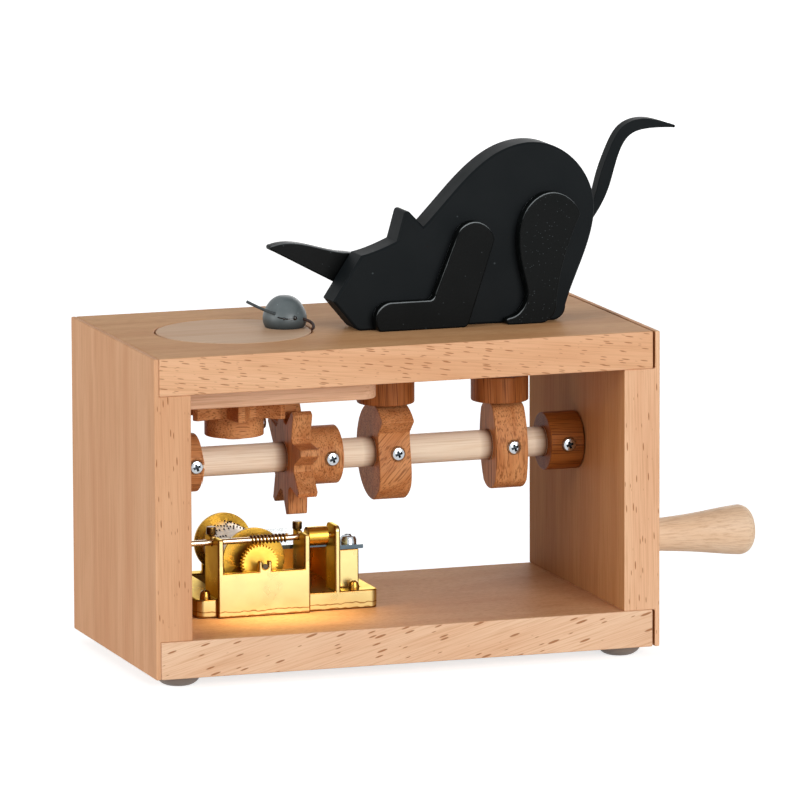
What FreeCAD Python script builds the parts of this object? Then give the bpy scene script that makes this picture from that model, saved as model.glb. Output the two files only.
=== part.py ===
# Hand-cranked wooden automaton: a cat over a box frame, a mouse on a turntable, a music movement.
# Units are millimetres. X runs to the crank side, Y to the back, Z up.
# The origin is the middle of the whole toy's box on the surface it stands on.
import FreeCAD, Part
import math
import os
import re

import Sketcher

os.makedirs("parts", exist_ok=True)
doc = FreeCAD.newDocument("automaton")
sheet = doc.addObject("Spreadsheet::Sheet", "sizes")

V = FreeCAD.Vector
ALONG_X = FreeCAD.Rotation(V(0, 1, 0), 90)
FACING_SIDE = FreeCAD.Rotation(V(0, 1, 0), V(0, 0, 1), V(1, 0, 0), "ZXY")
FACING_DOWN = FreeCAD.Rotation(V(0, 1, 0), V(1, 0, 0), V(0, 0, -1), "ZXY")
ALONG_Y = FreeCAD.Rotation(V(1, 0, 0), -90)
FORWARD = FreeCAD.Rotation(V(1, 0, 0), 90)
UPRIGHT = FreeCAD.Rotation()

# driving sizes
SIZES = {
    # frame: four boards, rabbeted at the corners; its height follows from the mechanism
    "frame_width": 140, "frame_depth": 76, "board": 10, "lip": 1.35, "joint_gap": 0.6,
    "foot_height": 3, "foot_radius": 6, "foot_flat": 2.8, "foot_inset": 8.5,
    # clearances
    "running_gap": 0.08, "seat_gap": 0.1, "side_gap": 0.3,
    # camshaft and what it carries, measured from the walls' faces
    "shaft_radius": 4, "blind_depth": 7, "shaft_clearance": 1.65,
    "collar_radius": 7.8, "collar_width": 9.4, "left_collar_at": 13.3, "right_collar_gap": 0.3,
    "star_teeth": 8, "star_radius": 15.4, "star_valley": 9.4, "tip_width": 1.8, "star_thick": 5.4,
    "star_at": 47.2, "hub_radius": 7.8, "hub_length": 9.2, "star_turn": 33,
    "paw_cam_at": 72, "tail_cam_from_wall": 16.1, "cam_thick": 9,
    "paw_cam_radius": 13, "paw_cam_flat": 6.2,
    "tail_cam_long": 11.9, "tail_cam_short": 7.1, "tail_cam_tilt": 6,
    "screw_head": 2, "screw_shank": 1.1, "screw_sink": 0.6,
    # crank
    "arm_gap": 1, "arm_thick": 8, "arm_width": 13, "crank_throw": 27.6, "grip_gap": 0.4,
    "grip_length": 30.8, "grip_neck": 4.15, "grip_belly": 6.8, "grip_corner": 3.6, "grip_bore": 1.6,
    "pin_head": 2.5, "pin_head_thick": 1.6, "pin_recess": 2.4, "pin_depth": 6,
    # turntable and the star wheel under it
    "table_at": 33.6, "table_radius": 20.6, "table_gap": 0.45, "spindle_radius": 3,
    "plate_thick": 6, "plate_length": 56, "plate_front": 12, "plate_depth": 52, "plate_corner": 5,
    "driven_gap": 0.7, "driven_thick": 5.3, "driven_radius": 16.6, "driven_hub_length": 5.7,
    "driven_hub_radius": 7.9, "mesh_depth": 2.8,
    # mouse
    "mouse_at": 48.6, "mouse_back": 40.2, "mouse_radius": 5.9, "mouse_height": 8.4, "cord_radius": 0.4,
    # followers, each a little to the left of the middle of its cam
    "follower_radius": 7.75, "follower_thick": 7, "rod_radius": 2,
    "paw_rod_aside": 0.5, "tail_rod_aside": 1.2,
    # cat: a thick body with two thinner legs in front and two levers behind
    "cat_at": 76, "body_thick": 9.5, "leg_thick": 3.6, "lever_thick": 4, "cat_chamfer": 0.5, "lever_gap": 0.3,
    "pivot_radius": 1, "pivot_head": 2, "pivot_bite": 5, "pivot_head_thick": 1,
    "paw_pivot_side": 11.35, "paw_pivot_up": 11.6, "tail_pivot_side": 11.7, "tail_pivot_up": 20.5,
    "lever_boss": 4, "rod_clearance": 0.35,
    # music movement: its bed and its case, then what stands to the right of the case
    "bed_at": 20, "bed_front": 27.7, "bed_depth": 41.6, "bed_thick": 5, "bed_corner": 2,
    "case_at": 25.3, "case_length": 25.6, "case_front": 26.2, "case_depth": 12, "case_height": 21.15,
    "wall_thick": 1.6, "right_wall_depth": 10.4, "axle_over_panel": 1.35,
    "sleeve_gap": 0.7, "sleeve_length": 5.6, "sleeve_radius": 2.6,
    "post_gap": 1.1, "post_thick": 1.5, "post_depth": 7.9, "post_rise": 1.55, "post_round": 1.6,
    "pedestal_gap": 1.2, "pedestal_width": 5.6, "pedestal_front": 32.7, "pedestal_depth": 32.3,
    "bed_margin": 3.8, "ear_width": 3.6, "ear_height": 2.8,
    # its arbor, worm, wheel and drum
    "arbor_drop": 1.5, "arbor_back": 31.9, "arbor_radius": 0.8, "worm_in": 10.4, "worm_clear": 2.2,
    "worm_radius": 1.25, "worm_pitch": 1, "wheel_teeth": 34, "wheel_thick": 2.2, "wheel_gap": 0.05,
    "wheel_tooth": 0.55, "drop_to_drum": 6.3, "drum_in": 13.1, "drum_radius": 6, "drum_front": 36.6,
    "drum_length": 26.1, "rim_radius": 8.6, "rear_rim_radius": 8.05, "rim_thick": 1, "axle_radius": 0.7,
    # its comb and screws
    "comb_rise": 2, "comb_thick": 1.1, "comb_over": 1.2, "comb_teeth": 18, "tooth_slit": 0.35,
    "comb_gap": 0.6, "root_over": 0.8, "slit_margin": 4.4, "comb_screw_in": 3, "comb_screw_side": 2,
    "comb_screw_gap": 14, "comb_screw_head": 2.3, "comb_screw_thick": 2.3, "comb_screw_bite": 4,
    "bed_screw_left": 2.7, "bed_screw_right": 6.2, "bed_screw_back": 2.2, "bed_screw_head": 1.45,
    "bed_screw_thick": 2.3, "bed_screw_bite": 6, "cap_back": 3.1, "cap_radius": 1.3, "cap_height": 2.2,
    # belt that turns the movement from the camshaft, between the left wall and collar
    "belt_at": 11.7, "belt_radius": 0.7, "pulley_width": 2.2, "pulley_big": 7, "pulley_small": 3.4,
    "groove_depth": 0.5,
}

# sizes that follow from the ones above; heights stack up from the bed of the movement
DERIVED = {
    "left": "-(frame_width + arm_gap + arm_thick + grip_gap + grip_length) / 2",
    "front": "-frame_depth / 2",
    "wood_low": "foot_height",
    "bed_floor": "wood_low + board",
    "case_top": "bed_floor + case_height",
    "shaft_up": "case_top + cap_height + shaft_clearance + star_radius",
    "shaft_back": "0",
    "driven_low": "shaft_up + star_radius - mesh_depth",
    "plate_low": "driven_low + driven_thick + driven_gap",
    "deck": "plate_low + plate_thick + board",
    "frame_height": "deck - wood_low",
    "wall_bore": "shaft_radius + running_gap",
    "right_wall_x": "left + frame_width - board",
    "right_collar_x": "right_wall_x - right_collar_gap - collar_width",
    "tail_cam_x": "right_wall_x - tail_cam_from_wall - cam_thick",
    "arm_left": "left + frame_width + arm_gap",
    "grip_left": "arm_left + arm_thick + grip_gap",
    "grip_up": "shaft_up - crank_throw",
    "table_x": "left + table_at",
    "paw_rod_x": "left + paw_cam_at + cam_thick / 2 - paw_rod_aside",
    "tail_rod_x": "tail_cam_x + cam_thick / 2 - tail_rod_aside",
    "body_back": "shaft_back - rod_radius - lever_gap",
    "body_front": "body_back - body_thick",
    "lever_front": "body_back + lever_gap",
    "paw_pivot_x": "paw_rod_x + paw_pivot_side",
    "paw_pivot_z": "deck + paw_pivot_up",
    "tail_pivot_x": "tail_rod_x - tail_pivot_side",
    "tail_pivot_z": "deck + tail_pivot_up",
    "paw_follower_low": "shaft_up + paw_cam_radius + seat_gap",
    "tail_follower_low": "shaft_up + tail_cam_long + seat_gap",
    "case_x": "left + case_at",
    "case_end": "case_x + case_length",
    "sleeve_x": "case_end + sleeve_gap",
    "post_x": "sleeve_x + sleeve_length + post_gap",
    "pedestal_x": "post_x + post_thick + pedestal_gap",
    "bed_x": "left + bed_at",
    "bed_length": "pedestal_x + pedestal_width + bed_margin - bed_x",
    "bed_top": "bed_floor + bed_thick",
    "arbor_y": "front + arbor_back",
    "arbor_z": "case_top - arbor_drop",
    "worm_length": "case_length - wall_thick - worm_in - worm_clear",
    "worm_turns": "round(worm_length / worm_pitch)",
    "wheel_radius": "drop_to_drum - worm_radius - wheel_gap",
    "drum_x": "case_x + drum_in",
    "drum_y": "front + drum_front + rim_thick",
    "drum_z": "arbor_z - drop_to_drum",
    "panel_height": "drum_z - axle_over_panel - bed_floor",
    "comb_low": "drum_z + comb_rise",
    "comb_left": "drum_x + drum_radius + comb_gap",
    "comb_root": "pedestal_x - root_over",
    "comb_screw_x": "pedestal_x + pedestal_width - comb_screw_side",
    "belt_x": "left + belt_at",
    "big_pitch": "pulley_big - groove_depth + belt_radius",
    "small_pitch": "pulley_small - groove_depth + belt_radius",
}

row = 0
for name, value in list(SIZES.items()) + [(k, "=" + v) for k, v in DERIVED.items()]:
    row += 1
    sheet.set("A%d" % row, name)
    sheet.set("B%d" % row, str(value))
    sheet.setAlias("B%d" % row, name)
doc.recompute()


def size(name):
    """The present value of a cell."""
    return float(sheet.get(name))


# helpers
nodes = []


def link(text):
    """An expression written in plain cell names, as the document wants it."""
    def prefixed(found):
        word = found.group(0)
        return word if word in ("sin", "cos", "tan", "sqrt") else "sizes." + word
    return re.sub(r"[a-z][a-z_]*", prefixed, text)


def bind(thing, **cells):
    for name, text in cells.items():
        thing.setExpression(name, link(text))
    return thing


def place(thing, x, y, z, turn=UPRIGHT):
    thing.Placement = FreeCAD.Placement(V(), turn)
    for axis, text in zip("xyz", (x, y, z)):
        thing.setExpression("Placement.Base." + axis, link(text))
    return thing


def node(thing, name):
    """Marks a finished piece, whose label names its file."""
    thing.Label = name
    nodes.append(thing)
    return thing


def box(name, length, width, height, x, y, z):
    thing = doc.addObject("Part::Box", name)
    bind(thing, Length=length, Width=width, Height=height)
    return place(thing, x, y, z)


def rod(name, radius, length, x, y, z, turn=UPRIGHT):
    thing = doc.addObject("Part::Cylinder", name)
    bind(thing, Radius=radius, Height=length)
    return place(thing, x, y, z, turn)


def cut(name, base, tools):
    if len(tools) > 1:
        tool = doc.addObject("Part::MultiFuse", name + "_tools")
        tool.Shapes = tools
    else:
        tool = tools[0]
    thing = doc.addObject("Part::Cut", name)
    thing.Base = base
    thing.Tool = tool
    return thing


def fuse(name, pieces):
    thing = doc.addObject("Part::MultiFuse", name)
    thing.Shapes = pieces
    thing.Refine = True
    return thing


def group(name, pieces):
    thing = doc.addObject("Part::Compound", name)
    thing.Links = pieces
    return thing


def fillet(name, base, chosen, radius):
    """Rounds the edges of base for which chosen(edge) holds."""
    doc.recompute()
    thing = doc.addObject("Part::Fillet", name)
    thing.Base = base
    thing.Edges = [(i + 1, radius, radius) for i, edge in enumerate(base.Shape.Edges) if chosen(edge)]
    return thing


def chamfer(name, base, chosen, reach):
    """Cuts back the edges of base for which chosen(edge) holds."""
    doc.recompute()
    thing = doc.addObject("Part::Chamfer", name)
    thing.Base = base
    thing.Edges = [(i + 1, reach, reach) for i, edge in enumerate(base.Shape.Edges) if chosen(edge)]
    return thing


def runs_along(direction):
    def chosen(edge):
        ends = [vertex.Point for vertex in edge.Vertexes]
        if len(ends) < 2:
            return False
        return abs((ends[1] - ends[0]).normalize().dot(direction)) > 0.999
    return chosen


# bodies with sketches

def body(name):
    return doc.addObject("PartDesign::Body", name)


def sketch_on(owner, plane, name, offset="0"):
    """A sketch on one of the body's own planes, lifted along its normal."""
    thing = owner.newObject("Sketcher::SketchObject", name)
    origin = [f for f in owner.Origin.OriginFeatures if f.Role == plane][0]
    thing.AttachmentSupport = [(origin, "")]
    thing.MapMode = "FlatFace"
    thing.setExpression("AttachmentOffset.Base.z", link(offset))
    return thing


def circle(sketch, radius, x="0", y="0"):
    """A circle whose radius and centre follow cells."""
    i = sketch.addGeometry(Part.Circle(V(1, 1, 0), V(0, 0, 1), 1), False)
    for kind, point, text in (("DistanceX", 3, x), ("DistanceY", 3, y)):
        if text == "0":
            target = -2 if kind == "DistanceX" else -1
            sketch.addConstraint(Sketcher.Constraint("PointOnObject", i, point, target))
            continue
        c = sketch.addConstraint(Sketcher.Constraint(kind, -1, 1, i, point, 1.0))
        sketch.setExpression("Constraints[%d]" % c, link(text))
    c = sketch.addConstraint(Sketcher.Constraint("Radius", i, 1.0))
    sketch.setExpression("Constraints[%d]" % c, link(radius))
    return i


def outline(sketch, runs):
    """A closed outline: a run of two points is a line, three an arc, more a smooth curve."""
    for run in runs:
        points = [V(x, y, 0) for x, y in run]
        if len(points) == 2:
            curve = Part.LineSegment(*points)
        elif len(points) == 3:
            curve = Part.Arc(*points)
        else:
            curve = Part.BSplineCurve()
            curve.interpolate(points)
        sketch.addGeometry(curve, False)


def pad(owner, sketch, length, name):
    thing = owner.newObject("PartDesign::Pad", name)
    thing.Profile = sketch
    bind(thing, Length=length)
    return thing


def pocket(owner, sketch, name, length=None, reversed_=False):
    thing = owner.newObject("PartDesign::Pocket", name)
    thing.Profile = sketch
    thing.Reversed = reversed_
    if length:
        bind(thing, Length=length)
    else:
        thing.Type = "ThroughAll"
        thing.Midplane = True
    return thing


def disc(owner, name, radius, low, thick):
    sketch = sketch_on(owner, "XY_Plane", name + "_sketch", low)
    circle(sketch, radius)
    return pad(owner, sketch, thick, name)


def bore(owner, name, radius, x="0", y="0"):
    sketch = sketch_on(owner, "XY_Plane", name + "_sketch")
    circle(sketch, radius, x, y)
    return pocket(owner, sketch, name)


def around(owner, feature, count, name):
    """Repeats a feature about the body's own Z axis."""
    pattern = owner.newObject("PartDesign::PolarPattern", name)
    pattern.Originals = [feature]
    pattern.Axis = ([f for f in owner.Origin.OriginFeatures if f.Role == "Z_Axis"][0], [""])
    pattern.Angle = 360
    bind(pattern, Occurrences=count)
    owner.Tip = pattern
    return pattern


def revolved(owner, runs, name):
    """Turns an outline drawn in (radius, height) about the body's own Z axis."""
    sketch = sketch_on(owner, "XZ_Plane", name + "_sketch")
    outline(sketch, runs)
    thing = owner.newObject("PartDesign::Revolution", name)
    thing.Profile = sketch
    thing.ReferenceAxis = (sketch, ["V_Axis"])
    thing.Angle = 360
    return thing


def screw(name, x, y, z, turn, length, head="screw_head", thick="screw_head * 0.7", shank="screw_shank"):
    """A screw whose head sits on the point given and whose shank runs the other way."""
    top = doc.addObject("Part::Cylinder", name + "_head")
    bind(top, Radius=head, Height=thick)
    stem = doc.addObject("Part::Cylinder", name + "_shank")
    bind(stem, Radius=shank, Height=length)
    stem.setExpression("Placement.Base.z", link("-(" + length + ")"))
    whole = fuse(name, [top, stem])
    return place(whole, x, y, z, turn)


# frame
def wall(name, x, inner_side):
    """A side wall, rabbeted along its top and bottom inner edges for the boards' ends."""
    panel = box(name + "_panel", "board", "frame_depth", "frame_height", x, "front", "wood_low")
    cut_x = x + " + lip" if inner_side > 0 else x
    low = box(name + "_low_rabbet", "board - lip", "frame_depth", "board", cut_x, "front", "wood_low")
    high = box(name + "_high_rabbet", "board - lip", "frame_depth", "board", cut_x, "front",
               "deck - board")
    return panel, [low, high]


def left_wall():
    panel, rabbets = wall("left_wall", "left", 1)
    socket = rod("left_socket", "wall_bore", "blind_depth", "left + board - blind_depth",
                 "shaft_back", "shaft_up", ALONG_X)
    node(cut("left_wall_cut", panel, rabbets + [socket]), "left_wall")


def right_wall():
    panel, rabbets = wall("right_wall", "right_wall_x", -1)
    hole = rod("right_hole", "wall_bore", "board", "right_wall_x", "shaft_back", "shaft_up", ALONG_X)
    node(cut("right_wall_cut", panel, rabbets + [hole]), "right_wall")


def base_board():
    plank = box("base_plank", "frame_width - 2 * lip - joint_gap", "frame_depth", "board",
                "left + lip", "front", "wood_low")
    holes = [rod("bed_pilot_%d" % i, "screw_shank", "bed_screw_bite", x, y,
                 "bed_floor - bed_screw_bite") for i, (x, y) in enumerate(bed_screws())]
    node(cut("base_board_cut", plank, holes), "base_board")


def top_board():
    plank = box("top_plank", "frame_width - 2 * lip - joint_gap", "frame_depth", "board",
                "left + lip", "front", "deck - board")
    opening = rod("table_opening", "table_radius + table_gap", "board", "table_x", "shaft_back",
                  "deck - board")
    guides = [rod("rod_guide_%d" % i, "rod_radius + running_gap", "board", x, "shaft_back",
                  "deck - board") for i, x in enumerate(("paw_rod_x", "tail_rod_x"))]
    node(cut("top_board_cut", plank, [opening] + guides), "top_board")


def feet():
    for end, x in (("left", "left + foot_inset"), ("right", "left + frame_width - foot_inset")):
        for side, y in (("front", "front + foot_inset"), ("back", "front + frame_depth - foot_inset")):
            name = "foot_%s_%s" % (side, end)
            foot = body(name + "_body")
            wide, tall, flat = size("foot_radius"), size("foot_height"), size("foot_flat")
            shoulder = (wide + flat) / 2 + (wide - flat) * 0.22
            revolved(foot, [[(0, 0), (wide, 0)], [(wide, 0), (shoulder, -tall * 0.62), (flat, -tall)],
                            [(flat, -tall), (0, -tall)], [(0, -tall), (0, 0)]], name + "_dome")
            place(foot, x, y, "wood_low")
            node(foot, name)


def bearing_plate():
    """The lighter board under the top that carries the turntable's spindle."""
    plank = box("plate_plank", "plate_length", "plate_depth", "plate_thick", "left + board",
                "front + plate_front", "plate_low")
    rounded = fillet("plate_rounded", plank, lambda e: runs_along(V(0, 0, 1))(e)
                     and e.CenterOfMass.x > size("left") + size("board") + 1, size("plate_corner"))
    hole = rod("spindle_hole", "spindle_radius + running_gap", "plate_thick", "table_x",
               "shaft_back", "plate_low")
    node(cut("bearing_plate_cut", rounded, [hole]), "bearing_plate")


# camshaft
def camshaft():
    length = "arm_left + arm_thick - left - board + blind_depth - side_gap"
    shaft = rod("camshaft_dowel", "shaft_radius", length, "left + board - blind_depth + side_gap",
                "shaft_back", "shaft_up", ALONG_X)
    node(shaft, "camshaft")


CAMSHAFT_SCREWS = [
    ("left + left_collar_at + collar_width * 0.78", "collar_radius"),
    ("left + star_at + star_thick + hub_length * 0.64", "hub_radius"),
    ("left + paw_cam_at + cam_thick * 0.6", "paw_cam_flat"),
    ("tail_cam_x + cam_thick * 0.55", "tail_cam_short"),
    ("right_collar_x + collar_width * 0.52", "collar_radius"),
]


def screw_seat(i):
    """The hole and sunk seat that one of the camshaft's screws sits in."""
    x, surface = CAMSHAFT_SCREWS[i]
    seat = rod("seat_%d" % i, "screw_head + running_gap", "screw_sink + screw_head",
               x, "shaft_back - " + surface + " + screw_sink", "shaft_up", FORWARD)
    hole = rod("thread_%d" % i, "screw_shank", surface, x, "shaft_back - shaft_radius", "shaft_up",
               FORWARD)
    return [seat, hole]


def camshaft_screws():
    screws = []
    for i, (x, surface) in enumerate(CAMSHAFT_SCREWS):
        screws.append(screw("camshaft_screw_%d" % i, x, "shaft_back - " + surface + " + screw_sink",
                            "shaft_up", FORWARD, surface + " - screw_sink - shaft_radius"))
    node(group("camshaft_screw_group", screws), "camshaft_screws")


def ring(name, radius, length, x, screw_number):
    outer = rod(name + "_outer", radius, length, x, "shaft_back", "shaft_up", ALONG_X)
    hole = rod(name + "_hole", "shaft_radius", length, x, "shaft_back", "shaft_up", ALONG_X)
    node(cut(name + "_cut", outer, [hole] + screw_seat(screw_number)), name)


def star_outline(sketch, radius_cell):
    """One valley between two teeth, cut from a plain disc and then repeated round it."""
    radius, valley = size(radius_cell), size("star_valley") * size(radius_cell) / size("star_radius")
    half = math.pi / size("star_teeth")
    blunt = math.asin(size("tip_width") / 2 / radius)
    reach = radius + 2
    floor_half = 0.09
    near = [(valley * math.sin(a), valley * math.cos(a)) for a in (-floor_half, 0, floor_half)]
    tips = [(radius * math.sin(a), radius * math.cos(a)) for a in (blunt - half, half - blunt)]
    out = [(reach * math.sin(a), reach * math.cos(a)) for a in (blunt - half, half - blunt)]
    outline(sketch, [near, [near[2], tips[1]], [tips[1], out[1]], [out[1], out[0]],
                     [out[0], tips[0]], [tips[0], near[0]]])


def star(name, radius, thick, hub_radius, hub_length, hole):
    """A wheel with eight pointed teeth and a hub, turned about its own Z."""
    wheel = body(name + "_body")
    disc(wheel, name + "_disc", radius, "0", thick)
    sketch = sketch_on(wheel, "XY_Plane", name + "_valley_sketch")
    star_outline(sketch, radius)
    valley = pocket(wheel, sketch, name + "_valley")
    around(wheel, valley, "star_teeth", name + "_valleys")
    disc(wheel, name + "_hub", hub_radius, thick, hub_length)
    bore(wheel, name + "_bore", hole)
    return wheel


def drive_star():
    wheel = star("drive_wheel", "star_radius", "star_thick", "hub_radius", "hub_length", "shaft_radius")
    turn = FreeCAD.Rotation(V(1, 0, 0), size("star_turn") - 180 / size("star_teeth"))
    place(wheel, "left + star_at", "shaft_back", "shaft_up", turn * FACING_SIDE)
    node(cut("drive_star_cut", wheel, screw_seat(1)), "drive_star")


def cam(name, runs, x, tilt, screw_number):
    """A cam drawn in (forward, up) about the shaft's axis."""
    plate = body(name + "_body")
    sketch = sketch_on(plate, "XY_Plane", name + "_sketch")
    outline(sketch, [[(-forward, up) for forward, up in run] for run in runs])
    pad(plate, sketch, "cam_thick", name + "_pad")
    bore(plate, name + "_bore", "shaft_radius")
    place(plate, x, "shaft_back", "shaft_up", FreeCAD.Rotation(V(1, 0, 0), tilt) * FACING_SIDE)
    node(cut(name + "_cut", plate, screw_seat(screw_number)), name)


def paw_cam():
    """A snail: a circle for most of the turn, then a step down to a spiral."""
    r = size("paw_cam_radius")
    flat = size("paw_cam_flat")
    lip = math.radians(46)
    tip = (r * math.sin(lip), r * math.cos(lip))
    far = (-r * math.sin(math.radians(70)), r * math.cos(math.radians(70)))
    end = (r * math.sin(math.radians(176)), r * math.cos(math.radians(176)))
    inner = (flat - 0.4, r * 0.44)
    spiral = [end, (flat * 0.6, -r * 0.9), (flat + 0.5, -r * 0.66), (flat + 1, -r * 0.38),
              (flat + 0.1, 0), (flat - 0.5, r * 0.24), inner]
    cam("paw_cam", [[tip, far, end], spiral, [inner, tip]], "left + paw_cam_at", 0, 2)


def tail_cam():
    """An oval with a lift on both sides of the shaft."""
    tall, wide = size("tail_cam_long"), size("tail_cam_short")
    x, y = wide * 0.7, tall * 0.83
    cam("tail_cam", [[(-x, y), (0, tall), (x, y)], [(x, y), (wide, 0), (x, -y)],
                     [(x, -y), (0, -tall), (-x, -y)], [(-x, -y), (-wide, 0), (-x, y)]],
        "tail_cam_x", -size("tail_cam_tilt"), 3)


def pulley(name, radius, hole, x, y, z):
    """A narrow wheel with a round groove for the belt."""
    wheel = rod(name + "_wheel", radius, "pulley_width", x, y, z, ALONG_X)
    groove = doc.addObject("Part::Torus", name + "_groove")
    bind(groove, Radius1=radius + " - groove_depth + belt_radius", Radius2="belt_radius + running_gap")
    place(groove, x + " + pulley_width / 2", y, z, ALONG_X)
    middle = rod(name + "_bore", hole, "pulley_width", x, y, z, ALONG_X)
    node(cut(name + "_cut", wheel, [groove, middle]), name)


# crank
def crank_arm():
    """The flat wooden arm, round at both ends, that hangs from the shaft's right end."""
    arm = body("crank_arm_body")
    sketch = sketch_on(arm, "XY_Plane", "crank_arm_sketch")
    half, throw = size("arm_width") / 2, size("crank_throw")
    outline(sketch, [[(-half, 0), (0, half), (half, 0)], [(half, 0), (half, -throw)],
                     [(half, -throw), (0, -throw - half), (-half, -throw)],
                     [(-half, -throw), (-half, 0)]])
    pad(arm, sketch, "arm_thick", "crank_arm_pad")
    bore(arm, "crank_arm_bore", "shaft_radius")
    place(arm, "arm_left", "shaft_back", "shaft_up", FACING_SIDE)
    pin_hole = rod("arm_pin_hole", "grip_bore - running_gap", "pin_depth",
                   "arm_left + arm_thick - pin_depth", "shaft_back", "grip_up", ALONG_X)
    node(cut("crank_arm_cut", arm, [pin_hole]), "crank_arm")


def crank_handle():
    """A turned grip, a slim cone that ends in a full, rounded knob."""
    grip = body("crank_handle_body")
    length, neck, belly = size("grip_length"), size("grip_neck"), size("grip_belly")
    hole, mouth, recess = size("grip_bore"), size("pin_head") + size("side_gap"), size("pin_recess")
    corner = size("grip_corner")
    eased = corner * (1 - math.sqrt(0.5))
    revolved(grip, [[(hole, 0), (neck, 0)],
                    [(neck, 0), (neck * 1.09, length * 0.17), (belly * 0.81, length * 0.52),
                     (belly * 0.985, length * 0.84), (belly, length - corner)],
                    [(belly, length - corner), (belly - eased, length - eased), (belly - corner, length)],
                    [(belly - corner, length), (mouth, length)],
                    [(mouth, length), (mouth, length - recess)],
                    [(mouth, length - recess), (hole, length - recess)],
                    [(hole, length - recess), (hole, 0)]], "crank_handle_turned")
    place(grip, "grip_left", "shaft_back", "grip_up", ALONG_X)
    node(grip, "crank_handle")


def crank_pin():
    length = "grip_left + grip_length - pin_recess + side_gap - (arm_left + arm_thick - pin_depth)"
    pin = screw("crank_pin_screw", "grip_left + grip_length - pin_recess + side_gap", "shaft_back",
                "grip_up", ALONG_X, length, "pin_head", "pin_head_thick", "grip_bore - running_gap")
    node(pin, "crank_pin")


# turntable and mouse
def turntable():
    node(rod("table_disc", "table_radius", "board - side_gap", "table_x", "shaft_back",
             "deck - board + side_gap"), "turntable_disc")
    spindle_low = "driven_low - driven_hub_length - 1"
    node(rod("table_spindle", "spindle_radius", "deck - board + side_gap - (" + spindle_low + ")",
             "table_x", "shaft_back", spindle_low), "turntable_spindle")


def driven_star():
    wheel = star("driven_wheel", "driven_radius", "driven_thick", "driven_hub_radius",
                 "driven_hub_length", "spindle_radius")
    turn = FreeCAD.Rotation(V(0, 0, 1), -size("star_turn"))
    place(wheel, "table_x", "shaft_back", "driven_low + driven_thick", turn * FACING_DOWN)
    reach = "driven_hub_radius - screw_sink"
    hub_z = "driven_low - driven_hub_length / 2"
    seat = rod("table_screw_seat", "screw_head + running_gap", "screw_head", "table_x + " + reach,
               "shaft_back", hub_z, ALONG_X)
    hole = rod("table_screw_hole", "screw_shank", "driven_hub_radius",
               "table_x + spindle_radius", "shaft_back", hub_z, ALONG_X)
    node(cut("driven_star_cut", wheel, [seat, hole]), "driven_star")
    node(screw("table_screw", "table_x + " + reach, "shaft_back", hub_z, ALONG_X,
               reach + " - spindle_radius"), "turntable_screw")


def mouse():
    """A half egg with a long cord one way and a short one the other."""
    mouse_x, mouse_y = "left + mouse_at", "front + mouse_back"
    egg = body("mouse_body_egg")
    wide, tall = size("mouse_radius"), size("mouse_height")
    revolved(egg, [[(0, 0), (wide * 0.88, 0)],
                   [(wide * 0.88, 0), (wide, tall * 0.27), (wide * 0.86, tall * 0.62),
                    (wide * 0.5, tall * 0.92), (0, tall)],
                   [(0, tall), (0, 0)]], "mouse_egg")
    place(egg, mouse_x, mouse_y, "deck")
    tail_hole = cord("tail_hole", MOUSE_TAIL)
    chin_hole = cord("chin_hole", MOUSE_CHIN)
    node(cut("mouse_cut", egg, [tail_hole, chin_hole]), "mouse_body")
    node(cord("mouse_tail_cord", MOUSE_TAIL), "mouse_tail")
    node(cord("mouse_chin_cord", MOUSE_CHIN), "mouse_chin_cord")


# arcs of the mouse's cords: start, middle and end, from the middle of its foot
MOUSE_TAIL = [(-2.9, -3.6, 3.8), (-7.2, -4, 5.6), (-11.9, -4.4, 8)]
MOUSE_CHIN = [(3.1, -4.0, 2.6), (5.2, -6.6, 1.9), (4.3, -10.4, 0.7)]


def cord(name, bend):
    """A short round cord along one arc."""
    at = V(size("left") + size("mouse_at"), size("front") + size("mouse_back"), size("deck"))
    points = [at + V(*p) for p in bend]
    arc = Part.Arc(*points)
    path = Part.Wire([arc.toShape()])
    start = Part.Circle(points[0], arc.tangent(arc.FirstParameter)[0], size("cord_radius"))
    thing = doc.addObject("Part::Feature", name)
    thing.Shape = path.makePipeShell([Part.Wire([start.toShape()])], True, False)
    return thing


# followers and cat
def follower(name, x, low, pivot_z):
    """A disc that rides on a cam and the rod that lifts a lever."""
    disc_piece = rod(name + "_disc", "follower_radius", "follower_thick", x, "shaft_back", low)
    node(disc_piece, name + "_disc")
    start = low + " + follower_thick"
    length = pivot_z + " - lever_boss - rod_clearance - (" + start + ")"
    node(rod(name + "_stem", "rod_radius", length, x, "shaft_back", start), name + "_rod")


def slab(name, runs, thick, x, y, z):
    """A sawn silhouette drawn in (right, up), with its back face at y."""
    piece = body(name + "_sawn")
    sketch = sketch_on(piece, "XZ_Plane", name + "_sketch")
    outline(sketch, runs)
    pad(piece, sketch, thick, name + "_pad")
    return place(piece, x, y, z)


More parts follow.
